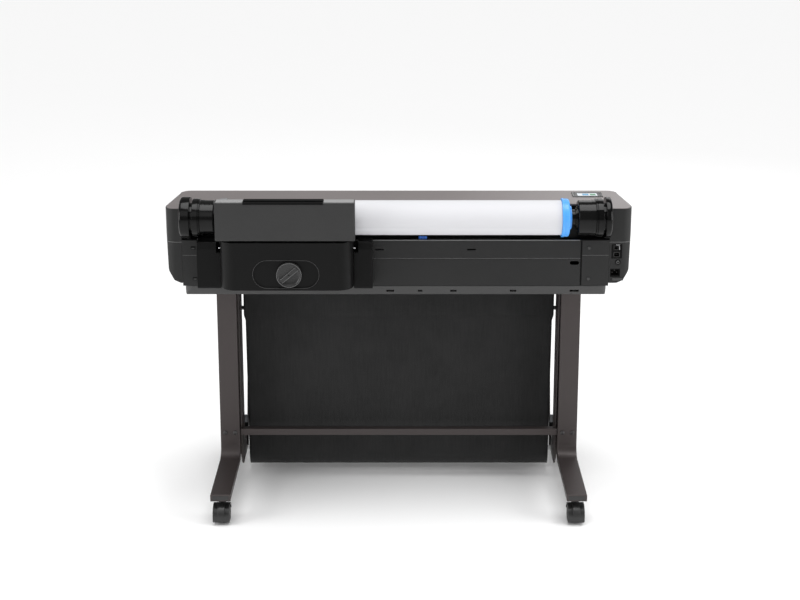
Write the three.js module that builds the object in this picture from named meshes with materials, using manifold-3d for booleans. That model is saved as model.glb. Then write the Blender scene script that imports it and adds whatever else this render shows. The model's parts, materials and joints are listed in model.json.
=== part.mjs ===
// Large format roll plotter on a rolling stand, with a sheet feeder and a fabric bin.
// Millimetres, +Z up. X runs along the roll, -Y is the media-loading side, the floor is z = 0.
import * as THREE from "three";
import { mergeVertices } from "three/addons/utils/BufferGeometryUtils.js";
import Module from "manifold-3d";

const wasm = await Module();
wasm.setup();

// ---- driving dimensions --------------------------------------------------------------------
const WIDTH = 1317;                   // across the end caps
const DEPTH = 605;                    // across the feet
const HEIGHT = 944;                   // floor to the top of the sheet feeder's slide-out rest
const GAP = 0.3;                      // gap between pieces that touch
const WALL = 3;                       // wall of the moulded casings

// casing
const REAR = -152;                    // plane of the rear panels
const FRONT = 188;                    // plane of the front fascia
const DECK = 898;                     // flat top
const DECK_PLATE = 5;                 // thickness of the top cover
const DECK_RIM = 2.4;                 // dark rim round the top cover
const DECK_FRONT = 68;                // where the deck ends and the front slope begins
const SLOPE = THREE.MathUtils.degToRad(43);
const CAP_BOTTOM = 680;
const CAP_RIM = 1.5;                  // how far the dark rim lies below the deck
const SEAM = 801;                     // joint between upper and lower end caps
const BAY_LEFT = -613;                // inner edges of the end caps
const BAY_RIGHT = 596;
const PANEL_TOP = 806;                // top edge of the rear panels
const PANEL_SEAM = 752;               // joint between the two middle rear panels
const PANEL_BOTTOM = 671;
const PANEL_LEFT = -568;              // ends of the middle rear panels
const PANEL_RIGHT = 515;
const PANEL_RETURN = 12;              // folded edges of the panels
const TRAY_BOTTOM = 642;
const TRAY_BEVEL = 10;                // how far the tray's bottom edge steps in
const SLOT_LOW = 757;                 // paper exit slot at the front
const SLOT_HIGH = 789;
const INK_DOOR_LEFT = 500;
const INK_DOOR_TOP = 782;

// roll and spindle
const ROLL_Y = -165;
const ROLL_Z = 875;
const ROLL_RADIUS = 49;
const CORE_RADIUS = 26;
const SHAFT_RADIUS = 24;
const ROLL_LEFT = -480;
const ROLL_RIGHT = 455;
const HUB_RADIUS = 59;
const TROUGH_RADIUS = 71;

// sheet feeder
const FEEDER_LEFT = -505;
const FEEDER_RIGHT = -120;
const FEEDER_REAR = -264;
const FEEDER_BOTTOM = 690;
const FEEDER_SEAM = 832;
const FEEDER_TOP = HEIGHT - 2;
const FEEDER_COVER_DEPTH = 40;
const FEEDER_FRONT = -160;            // where the feeder's box meets the machine
const ARM_LEFT = -565;                // outer faces of the two arms that hold the feeder
const ARM_RIGHT = -73;
const ARM_TOP = 814;
const ARM_BOTTOM = 678;
const KNOB = { x: -303, z: 737, radius: 35 };
const PICKUP = { y: -205, z: 800, radius: 14, shaft: 4 };

// sockets on the right end cap
const USB = { x: 615, z: 783, w: 13, h: 12 };
const LAN = { x: 617, z: 763, w: 17, h: 14 };
const BUTTON = { x: 621, z: 741, radius: 8.3 };
const INLET = { x: 614, z: 710, w: 28, h: 24 };

// control panel
const PANEL = { x: 548, y: 11, w: 88, d: 54 };

// carriage, belt and paper path
const FEED = { y: 20, z: 735, radius: 15 };
const RAIL = { y: -30, z: 840 };
const BELT = { y: -4, z: 812, radius: 12, thick: 2, width: 8 };
const BELT_END = 560;
const CARRIAGE_PARK = 520;

// stand
const LEG_X = 507;                    // centre of each leg
const LEG_WIDTH = 58;
const LEG_REAR = -13.6;
const LEG_DEPTH = 48;
const FOOT_TOP = 96.5;
const FOOT_BOTTOM = 76;
const FOOT_FILLET = 34;
const CROSSBAR_Z = 168;
const CROSSBAR_HEIGHT = 20;
const PIVOT = { y: 150, z: 74 };      // hinge of the bin's front frame
const BIN_ROD_RADIUS = 8;
const FRONT_ROD = { y: 279, z: 548 };
const REAR_ROD = { y: 80, z: 532, radius: 6 };

// bin fabric
const FABRIC = 2.6;
const FABRIC_HALF = 466;
const FABRIC_Y = 72;
const FABRIC_TOP = 640;
const FABRIC_FLOOR = 19;              // lowest point of the bin
const FABRIC_BEND = 45;               // radius of its bottom bend

// casters
const CASTER_Y = 258;
const CASTER_TRAIL = 12;
const WHEEL_SIDES = 24;
const WHEEL_FLAT = 25;                // centre of a wheel to one of its facets

const object = new THREE.Group();

// ---- solids ---------------------------------------------------------------------------------

/** Turns a closed three.js geometry into a manifold solid. */
function solid(geometry) {
  const bare = geometry.clone();
  bare.deleteAttribute("normal");
  bare.deleteAttribute("uv");
  const welded = mergeVertices(bare, 1e-4);
  const mesh = new wasm.Mesh({
    numProp: 3,
    vertProperties: new Float32Array(welded.attributes.position.array),
    triVerts: new Uint32Array(welded.index.array),
  });
  return new wasm.Manifold(mesh);
}

/** Turns a manifold solid back into a three.js geometry. */
function geometryOf(body) {
  const mesh = body.getMesh();
  const geometry = new THREE.BufferGeometry();
  geometry.setAttribute("position", new THREE.BufferAttribute(mesh.vertProperties, 3));
  geometry.setIndex(new THREE.BufferAttribute(mesh.triVerts, 1));
  return geometry;
}

/** A box between two corners. */
function box(x0, x1, y0, y1, z0, z1) {
  const geometry = new THREE.BoxGeometry(x1 - x0, y1 - y0, z1 - z0);
  geometry.translate((x0 + x1) / 2, (y0 + y1) / 2, (z0 + z1) / 2);
  return solid(geometry);
}

/** An outline through corner points [a, b, radius], with each corner rounded. */
function outline(corners, steps = 6) {
  const points = [];
  const count = corners.length;
  for (let i = 0; i < count; i += 1) {
    const here = new THREE.Vector2(corners[i][0], corners[i][1]);
    const radius = corners[i][2] ?? 0;
    if (radius === 0) {
      points.push(here);
      continue;
    }
    const before = new THREE.Vector2(...corners[(i + count - 1) % count].slice(0, 2));
    const after = new THREE.Vector2(...corners[(i + 1) % count].slice(0, 2));
    const toBefore = before.sub(here).normalize();
    const toAfter = after.sub(here).normalize();
    const half = Math.acos(THREE.MathUtils.clamp(toBefore.dot(toAfter), -1, 1)) / 2;
    const reach = radius / Math.tan(half);
    const start = here.clone().addScaledVector(toBefore, reach);
    const end = here.clone().addScaledVector(toAfter, reach);
    const inwards = toBefore.clone().add(toAfter).normalize();
    const centre = here.clone().addScaledVector(inwards, radius / Math.sin(half));
    const from = Math.atan2(start.y - centre.y, start.x - centre.x);
    let sweep = Math.atan2(end.y - centre.y, end.x - centre.x) - from;
    sweep -= Math.round(sweep / (2 * Math.PI)) * 2 * Math.PI;
    for (let k = 0; k <= steps; k += 1) {
      const angle = from + (sweep * k) / steps;
      const turned = new THREE.Vector2(Math.cos(angle), Math.sin(angle)).multiplyScalar(radius);
      points.push(turned.add(centre));
    }
  }
  return points;
}

/** Extrudes an outline of 2-D points along local z, from 0 to length. */
function extrude(points, length) {
  return new THREE.ExtrudeGeometry(new THREE.Shape(points), { depth: length, bevelEnabled: false });
}

const TURN_TO_X = new THREE.Matrix4().makeBasis(
  new THREE.Vector3(0, 1, 0),
  new THREE.Vector3(0, 0, 1),
  new THREE.Vector3(1, 0, 0),
);
const TURN_TO_Y = new THREE.Matrix4().makeBasis(
  new THREE.Vector3(1, 0, 0),
  new THREE.Vector3(0, 0, 1),
  new THREE.Vector3(0, -1, 0),
);

/** Extrudes a (y, z) outline from x0 to x1. */
function alongX(points, x0, x1) {
  return solid(extrude(points, x1 - x0).applyMatrix4(TURN_TO_X).translate(x0, 0, 0));
}

/** Extrudes an (x, z) outline from y0 to y1. */
function alongY(points, y0, y1) {
  return solid(extrude(points, y1 - y0).applyMatrix4(TURN_TO_Y).translate(0, y1, 0));
}

/** Extrudes an (x, y) outline from z0 to z1. */
function alongZ(points, z0, z1) {
  return solid(extrude(points, z1 - z0).translate(0, 0, z0));
}

/** Corners of a rectangle as [a, b, radius]. */
function rectangle(a0, a1, b0, b1, radius = 0) {
  return [[a0, b0, radius], [a1, b0, radius], [a1, b1, radius], [a0, b1, radius]];
}

/** Revolves a closed profile of [radius, x] points about the line y, z along X. */
function revolveX(profile, y, z, sides = 32) {
  const points = profile.map(([r, x]) => new THREE.Vector2(r, x));
  const geometry = new THREE.LatheGeometry([...points, points[0].clone()], sides);
  geometry.rotateY(Math.PI / sides);
  geometry.rotateZ(-Math.PI / 2);
  geometry.translate(0, y, z);
  return outward(geometry);
}

/** Makes a solid and turns its faces outwards if the profile ran the other way. */
function outward(geometry) {
  const index = geometry.index.array.slice();
  const position = geometry.attributes.position;
  const corners = [new THREE.Vector3(), new THREE.Vector3(), new THREE.Vector3()];
  let volume = 0;
  for (let i = 0; i < index.length; i += 3) {
    corners.forEach((corner, k) => corner.fromBufferAttribute(position, index[i + k]));
    volume += corners[0].dot(corners[1].clone().cross(corners[2]));
  }
  if (volume < 0) {
    for (let i = 0; i < index.length; i += 3) {
      [index[i + 1], index[i + 2]] = [index[i + 2], index[i + 1]];
    }
    geometry.setIndex(new THREE.BufferAttribute(index, 1));
  }
  return solid(geometry);
}

/** A cylinder along X, Y or Z through a point, between two places on that axis. */
function rod(axis, radius, from, to, a, b, sides = 24) {
  const geometry = new THREE.CylinderGeometry(radius, radius, to - from, sides);
  const middle = (from + to) / 2;
  if (axis === "x") {
    geometry.rotateY(Math.PI / sides).rotateZ(-Math.PI / 2).translate(middle, a, b);
  } else if (axis === "y") {
    geometry.translate(a, middle, b);
  } else {
    geometry.rotateX(Math.PI / 2).translate(a, b, middle);
  }
  return solid(geometry);
}

/** Joins solids into one. */
function join(...bodies) {
  return bodies.reduce((sum, body) => sum.add(body));
}

/** Cuts solids out of the first one. */
function cut(body, ...tools) {
  return tools.reduce((rest, tool) => rest.subtract(tool), body);
}

// ---- finishes -------------------------------------------------------------------------------
const FINISH = {
  taupe: { color: 0x8f8989, roughness: 0.55, metalness: 0.1 },
  casing: { color: 0x363636, roughness: 0.6, metalness: 0 },
  black: { color: 0x161616, roughness: 0.45, metalness: 0 },
  gloss: { color: 0x0c0c0d, roughness: 0.15, metalness: 0 },
  glass: { color: 0x1a1d22, roughness: 0.08, metalness: 0 },
  screen: { color: 0xdfe8f2, roughness: 0.15, metalness: 0 },
  paper: { color: 0xf2f2f5, roughness: 0.8, metalness: 0 },
  blue: { color: 0x3f9df2, roughness: 0.4, metalness: 0 },
  grey: { color: 0xb9bbbe, roughness: 0.5, metalness: 0 },
  steel: { color: 0xb4b6b8, roughness: 0.35, metalness: 1 },
  rubber: { color: 0x1b1b1b, roughness: 0.9, metalness: 0 },
  bronze: { color: 0x443e3d, roughness: 0.5, metalness: 0.3 },
  fabric: { color: 0x1d1d1f, roughness: 0.95, metalness: 0 },
};

/** Adds a named piece to the object. */
function piece(name, body, finish) {
  const mesh = new THREE.Mesh(geometryOf(body), new THREE.MeshStandardMaterial(FINISH[finish]));
  mesh.name = name;
  object.add(mesh);
}

// ---- casing ---------------------------------------------------------------------------------

/** The outside shape of the whole casing, ends included. */
function envelope() {
  const half = WIDTH / 2;
  const plan = outline([
    [-half, REAR, 26], [half, REAR, 26], [half, -112], [half - 21, 38, 90], [half - 21, FRONT, 24],
    [-half + 21, FRONT, 24], [-half + 21, 38, 90], [-half, -112],
  ], 5);
  const end = outline([
    [-half + 40, CAP_BOTTOM, 12], [half - 40, CAP_BOTTOM, 12], [half - 22, CAP_BOTTOM + 8, 10],
    [half - 5, 716, 20], [half, 862], [half, DECK + 4],
    [-half, DECK + 4], [-half, 862], [-half + 5, 716, 20], [-half + 22, CAP_BOTTOM + 8, 10],
  ], 4);
  const side = outline(rectangle(REAR - 5, FRONT + 5, CAP_BOTTOM, DECK));
  const hood = solid(geometryOf(alongY(outline([
    [-half - 4, -400], [half + 4, -400], [half + 4, -128], [half - 17, -32, 20], [half - 17, 0, 28],
    [-half + 17, 0, 28], [-half + 17, -32, 20], [-half - 4, -128],
  ], 5), -400, 400)).rotateX(-SLOPE).translate(0, DECK_FRONT, DECK));
  return alongZ(plan, CAP_BOTTOM, DECK)
    .intersect(alongY(end, REAR - 5, FRONT + 5))
    .intersect(alongX(side, -half, half))
    .intersect(hood);
}

const OUTER = envelope();
const CENTRE = [0, (REAR + FRONT) / 2, (CAP_BOTTOM + DECK) / 2];

/** The casing's outside shape, made smaller all round. */
function inset(amount) {
  const shrink = [WIDTH, FRONT - REAR, DECK - CAP_BOTTOM].map((size) => (size - 2 * amount) / size);
  const geometry = geometryOf(OUTER);
  geometry.translate(...CENTRE.map((value) => -value));
  geometry.scale(...shrink);
  geometry.translate(...CENTRE);
  return solid(geometry);
}

/** Outside limits of one end of the casing, between two heights. */
function endRegion(side, low, high) {
  const inner = side > 0 ? BAY_RIGHT : BAY_LEFT;
  const outer = side * (WIDTH / 2 + 2);
  return box(Math.min(inner, outer), Math.max(inner, outer), REAR - 5, FRONT + 5, low, high);
}

/** The deck's outline, a rim's width inside the casing, as a slab between two heights. */
function deckSlab(rim, low, high) {
  const slice = 0.6;
  const middle = (REAR + DECK_FRONT) / 2;
  const thin = OUTER.intersect(box(-WIDTH, WIDTH, REAR - 5, FRONT, DECK - slice, DECK + 1));
  const geometry = geometryOf(thin);
  geometry.translate(0, -middle, -(DECK - slice));
  geometry.scale(1 - (2 * rim) / WIDTH, 1 - (2 * rim) / (DECK_FRONT - REAR), (high - low) / slice);
  geometry.translate(0, middle, low);
  return solid(geometry);
}

function endCaps() {
  const rimTop = DECK - CAP_RIM;
  const shell = cut(OUTER, inset(WALL), deckSlab(DECK_RIM - GAP, DECK - DECK_PLATE - GAP, DECK + 2));
  for (const side of [-1, 1]) {
    const word = side > 0 ? "right" : "left";
    const upper = shell.intersect(endRegion(side, SEAM + GAP / 2, rimTop));
    let lower = shell.intersect(endRegion(side, CAP_BOTTOM - 5, SEAM - GAP / 2));
    if (side > 0) {
      lower = cut(
        lower,
        box(INLET.x - INLET.w / 2, INLET.x + INLET.w / 2, REAR - 5, REAR + 8, INLET.z - 12, INLET.z + 12),
        box(USB.x - 13, USB.x + 17, REAR - 5, REAR + 8, 752, 794),
        rod("y", BUTTON.radius + GAP, REAR - 5, REAR + 8, BUTTON.x, BUTTON.z),
      );
    }
    piece(`end_cap_${word}_upper`, upper, "casing");
    piece(`end_cap_${word}_lower`, lower, "casing");
  }
}

/** Front edge of the roll trough where it meets the deck. */
const TROUGH_FRONT = ROLL_Y + Math.sqrt(TROUGH_RADIUS ** 2 - (DECK - ROLL_Z) ** 2);

function topCover() {
  const w = PANEL.w / 2;
  const d = PANEL.d / 2;
  const body = cut(
    deckSlab(DECK_RIM, DECK - DECK_PLATE, DECK),
    box(BAY_LEFT - GAP, BAY_RIGHT + GAP, REAR - 5, TROUGH_FRONT + 3, 0, HEIGHT),
    box(PANEL.x - w, PANEL.x + w, PANEL.y - d, PANEL.y + d, 0, HEIGHT),
  );
  piece("top_cover", body, "taupe");
}

function controlPanel() {
  const w = PANEL.w / 2 - GAP;
  const d = PANEL.d / 2 - GAP;
  const rim = 6;
  const top = DECK + 1.6;
  const bezel = cut(
    box(PANEL.x - w, PANEL.x + w, PANEL.y - d, PANEL.y + d, DECK - 10, top),
    box(PANEL.x - w + rim, PANEL.x + w - rim, PANEL.y - d + rim, PANEL.y + d - rim, DECK - 3, top + 1),
  );
  const screen = box(
    PANEL.x - w + rim + GAP, PANEL.x + w - rim - GAP,
    PANEL.y - d + rim + GAP, PANEL.y + d - rim - GAP, DECK - 3 + GAP, top - 0.4,
  );
  piece("control_bezel", bezel, "gloss");
  piece("touch_screen", screen, "screen");
}

/** A panel folded inwards at its top and bottom edges. */
function foldedPanel(x0, x1, z0, z1) {
  const inside = REAR + WALL;
  const deep = REAR + PANEL_RETURN;
  return alongX(outline([
    [REAR, z0, 1.2], [REAR, z1, 2], [deep, z1], [deep, z1 - WALL], [inside, z1 - WALL],
    [inside, z0 + WALL], [deep, z0 + WALL], [deep, z0],
  ].reverse(), 2), x0, x1);
}

/** A slot with round ends, cut through a rear panel. */
function panelSlot(x, z, width, height) {
  const corners = rectangle(x - width / 2, x + width / 2, z - height / 2, z + height / 2, height / 2.1);
  return alongY(outline(corners, 4), REAR - 5, REAR + 8);
}

function rearPanels() {
  const g = GAP / 2;
  const upper = cut(
    foldedPanel(PANEL_LEFT + g, PANEL_RIGHT - g, PANEL_SEAM + g, PANEL_TOP),
    panelSlot(-55, 778, 25, 4),
    panelSlot(206, 778, 25, 4),
  );
  const lower = cut(
    foldedPanel(PANEL_LEFT + g, PANEL_RIGHT - g, PANEL_BOTTOM + g, PANEL_SEAM - g),
    panelSlot(498, 739, 26, 11),
  );
  piece("rear_panel_upper", upper, "casing");
  piece("rear_panel_lower", lower, "casing");
  for (const [word, x0, x1] of [
    ["left", BAY_LEFT + GAP, PANEL_LEFT - g],
    ["right", PANEL_RIGHT + g, BAY_RIGHT - GAP],
  ]) {
    piece(`rear_side_panel_${word}`, foldedPanel(x0, x1, PANEL_BOTTOM + g, PANEL_TOP), "casing");
  }
}

function baseTray() {
  const left = BAY_LEFT + 3;
  const right = BAY_RIGHT - 3;
  const top = PANEL_BOTTOM - GAP;
  const corner = 30;
  const profile = outline([
    [REAR, top], [REAR, top - 2], [REAR + TRAY_BEVEL, TRAY_BOTTOM, 8],
    [FRONT - TRAY_BEVEL, TRAY_BOTTOM, 8], [FRONT, top - 2], [FRONT, top],
  ], 3);
  const ends = outline([
    [left, top], [left + 3, TRAY_BOTTOM, 4], [right - 3, TRAY_BOTTOM, 4], [right, top],
  ], 3);
  const plan = outline(rectangle(left, right, REAR, FRONT, corner), 5);
  const full = alongX(profile, left, right)
    .intersect(alongY(ends, REAR, FRONT))
    .intersect(alongZ(plan, TRAY_BOTTOM, top));
  const pocket = alongX(outline([
    [REAR + 4, top + 1], [REAR + TRAY_BEVEL + 4, TRAY_BOTTOM + 5],
    [FRONT - TRAY_BEVEL - 4, TRAY_BOTTOM + 5], [FRONT - 4, top + 1],
  ]), left + 16, right - 16);
  const holes = [[-24, 22], [61, 13], [156, 18], [326, 18], [500, 26]].map(([x, width]) => (
    box(x - width / 2, x + width / 2, REAR - 5, REAR + 26, 652, 658)
  ));
  const walls = [[left + 5, left + 8.5], [right - 8.5, right - 5]].map(([x0, x1]) => (
    box(x0, x1, REAR + corner, FRONT - 6, TRAY_BOTTOM + 4, CAP_BOTTOM + 12)
  ));
  piece("base_tray", join(cut(full, pocket, ...holes), ...walls), "casing");
}

/** Points on a circle round the spindle, from one angle to another, as [y, z]. */
function troughArc(radius, from, to, steps) {
  const points = [];
  for (let i = 0; i <= steps; i += 1) {
    const angle = THREE.MathUtils.degToRad(from + ((to - from) * i) / steps);
    points.push([ROLL_Y + radius * Math.cos(angle), ROLL_Z + radius * Math.sin(angle)]);
  }
  return points;
}

function rollTrough() {
  const low = -68;
  const high = 13.5;
  const inner = troughArc(TROUGH_RADIUS, low, high, 10);
  const outer = troughArc(TROUGH_RADIUS + WALL, low, high, 10);
  const section = [...inner, ...outer.reverse()];
  const shell = alongX(outline(section).reverse(), BAY_LEFT - 1, BAY_RIGHT + 1);
  const back = [REAR + WALL + 2 * GAP, DECK - 8];
  const cheek = outline([...troughArc(TROUGH_RADIUS + WALL, low, high, 10), back]);
  const sides = [[BAY_LEFT - WALL, BAY_LEFT - GAP], [BAY_RIGHT + GAP, BAY_RIGHT + WALL]];
  const ends = sides.map(([x0, x1]) => alongX(cheek, x0, x1));
  piece("roll_trough", join(shell, ...ends), "black");
}

function frontCasing() {
  const g = GAP / 2;
  const low = PANEL_BOTTOM + g;
  const fascia = alongX(outline([
    [FRONT, low], [FRONT, SLOT_LOW, 3], [FRONT - 40, SLOT_LOW], [FRONT - 40, SLOT_LOW - WALL],
    [FRONT - WALL, SLOT_LOW - WALL], [FRONT - WALL, low],
  ], 3), BAY_LEFT + GAP, INK_DOOR_LEFT - g);
  const door = alongX(outline([
    [FRONT - WALL, low], [FRONT, low, 1], [FRONT, INK_DOOR_TOP, 3], [FRONT - 12, INK_DOOR_TOP],
    [FRONT - 12, INK_DOOR_TOP - WALL], [FRONT - WALL, INK_DOOR_TOP - WALL],
  ], 3), INK_DOOR_LEFT + g, BAY_RIGHT - GAP);
  const along = (DECK - SLOT_HIGH) / Math.sin(SLOPE);
  const cover = geometryOf(alongX(outline([
    [1.5, -1], [along - 2, -1, 4], [along - 2, -9], [along - 5, -9], [along - 5, -4], [1.5, -4],
  ].reverse(), 3), BAY_LEFT + GAP, BAY_RIGHT - GAP));
  cover.rotateX(-SLOPE).translate(0, DECK_FRONT, DECK);
  piece("front_fascia", fascia, "casing");
  piece("ink_door", door, "casing");
  piece("access_cover", solid(cover), "glass");
}

// ---- inside ---------------------------------------------------------------------------------

function paperPath() {
  const ribs = [];
  for (let x = -440; x <= 440; x += 110) {
    ribs.push(box(x - 3, x + 3, 42, 145, 741, 746));
  }
  piece("platen", join(box(-480, 480, 40, 146, 733, 741.5), ...ribs), "black");
  piece("feed_roller", revolveX([
    [0, -500], [5, -500], [5, -470], [FEED.radius, -470], [FEED.radius, 470], [5, 470], [5, 500], [0, 500],
  ], FEED.y, FEED.z, 20), "rubber");
}

function carriageDrive() {
  const rail = alongX(outline([
    [RAIL.y - 14, RAIL.z - 22], [RAIL.y + 12, RAIL.z - 22], [RAIL.y + 12, RAIL.z - 18],
    [RAIL.y - 10, RAIL.z - 18], [RAIL.y - 10, RAIL.z + 18], [RAIL.y + 12, RAIL.z + 18],
    [RAIL.y + 12, RAIL.z + 22], [RAIL.y - 14, RAIL.z + 22],
  ]), BAY_LEFT + 8, BAY_RIGHT - 8);
  piece("carriage_rail", rail, "steel");
  const loop = (radius, y0, y1) => {
    const reach = BELT_END + radius;
    const corners = rectangle(-reach, reach, BELT.z - radius, BELT.z + radius, radius - 0.01);
    return alongY(outline(corners, 8), y0, y1);
  };
  const low = BELT.y - BELT.width / 2;
  const high = BELT.y + BELT.width / 2;
  const belt = cut(loop(BELT.radius + BELT.thick, low, high), loop(BELT.radius, low - 1, high + 1));
  piece("drive_belt", belt, "rubber");
  for (const side of [-1, 1]) {
    const word = side > 0 ? "right" : "left";
    const pulley = rod("y", BELT.radius - GAP, low, high, side * BELT_END, BELT.z, 20);
    piece(`belt_pulley_${word}`, pulley, "steel");
  }
  const half = 48;
  const beltWay = BELT.radius + BELT.thick + 3;
  const slot = box(-half - 1, half + 1, low - 3, high + 3, BELT.z - beltWay, BELT.z + beltWay);
  const shape = outline([
    [RAIL.y + 13, 752, 4], [78, 752, 6], [78, 822, 14], [44, 862, 8], [RAIL.y + 13, 862, 4],
  ], 3);
  const body = alongX(shape, -half, half).subtract(slot);
  piece("carriage", solid(geometryOf(body).translate(CARRIAGE_PARK, 0, 0)), "black");
}

function electronicsAndInk() {
  piece("power_supply", cut(
    box(-584, -494, -112, -8, TRAY_BOTTOM + 5 + GAP, 728),
    box(-586, -580, -104, -16, 664, 718),
  ), "steel");
  const pitch = 21;
  for (let i = 0; i < 4; i += 1) {
    const x = INK_DOOR_LEFT + 12 + i * pitch;
    const body = alongX(outline(rectangle(96, 180, 684, 772, 5), 3), x - 9.5, x + 9.5);
    piece(`ink_cartridge_${i + 1}`, body, "black");
  }
}

function sockets() {
  const plate = cut(
    box(USB.x - 13 + GAP, USB.x + 17 - GAP, REAR + 1, REAR + 14, 752 + GAP, 794 - GAP),
    box(USB.x - USB.w / 2, USB.x + USB.w / 2, REAR - 1, REAR + 11, USB.z - USB.h / 2, USB.z + USB.h / 2),
    box(LAN.x - LAN.w / 2, LAN.x + LAN.w / 2, REAR - 1, REAR + 11, LAN.z - LAN.h / 2, LAN.z + LAN.h / 2),
  );
  piece("io_plate", plate, "black");
  piece("power_button", rod("y", BUTTON.radius, REAR - 1.6, REAR + 9, BUTTON.x, BUTTON.z), "gloss");
  const half = INLET.w / 2 - GAP;
  piece("power_inlet", cut(
    box(INLET.x - half, INLET.x + half, REAR + 3, REAR + 26, INLET.z - 12 + GAP, INLET.z + 12 - GAP),
    box(INLET.x - 11, INLET.x + 11, REAR, REAR + 20, INLET.z - 8, INLET.z + 8),
  ), "black");
}

// ---- roll and spindle -----------------------------------------------------------------------

/** Profile of a spindle hub as [radius, distance from its inner face]: neck, drum, groove and end disc. */
function hubProfile(length, neckLength, discLength) {
  const neck = HUB_RADIUS - 7.5;
  const drum = HUB_RADIUS - 3;
  const groove = HUB_RADIUS - 16;
  const grooveEnd = length - discLength;
  const grooveStart = grooveEnd - 6;
  return [
    [neck - 1.5, 0], [neck, 4], [neck, neckLength], [drum, neckLength + 2], [drum, grooveStart - 1],
    [groove, grooveStart], [groove, grooveEnd], [HUB_RADIUS - 1, grooveEnd + 1], [HUB_RADIUS, grooveEnd + 4],
    [HUB_RADIUS, length - 6], [HUB_RADIUS - 2, length - 2], [HUB_RADIUS - 7, length],
  ];
}

/** A roll flange: a stepped ring on the shaft. */
function flange(from, direction) {
  const steps = [
    [SHAFT_RADIUS + GAP, 0], [54, 0], [55, 2], [55, 6], [53.5, 7], [53.5, 20], [51, 23], [34, 24], [34, 28],
    [SHAFT_RADIUS + GAP, 28],
  ];
  return revolveX(steps.map(([r, x]) => [r, from + direction * x]), ROLL_Y, ROLL_Z);
}

function rollAndSpindle() {
  const leftFace = -517;
  const rightFace = 495;
  const leftHub = hubProfile(94.5, 39, 28).map(([r, x]) => [r, leftFace - x]);
  const last = leftHub[leftHub.length - 1][1];
  piece("spindle", revolveX([
    [0, last], ...leftHub.reverse(), [SHAFT_RADIUS, leftFace], [SHAFT_RADIUS, rightFace - GAP],
    [0, rightFace - GAP],
  ], ROLL_Y, ROLL_Z), "gloss");
  const rightHub = hubProfile(100, 50, 18).map(([r, x]) => [r, rightFace + x]);
  piece("spindle_hub_right", revolveX([
    [0, rightFace], ...rightHub, [0, rightFace + 100],
  ], ROLL_Y, ROLL_Z), "gloss");
  piece("paper_roll", revolveX([
    [CORE_RADIUS, ROLL_LEFT], [ROLL_RADIUS, ROLL_LEFT], [ROLL_RADIUS, ROLL_RIGHT], [CORE_RADIUS, ROLL_RIGHT],
  ], ROLL_Y, ROLL_Z, 40), "paper");
  piece("roll_flange_right", flange(ROLL_RIGHT + GAP, 1), "blue");
  piece("roll_flange_left", flange(ROLL_LEFT - GAP, -1), "grey");
}

// ---- sheet feeder ---------------------------------------------------------------------------

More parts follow.
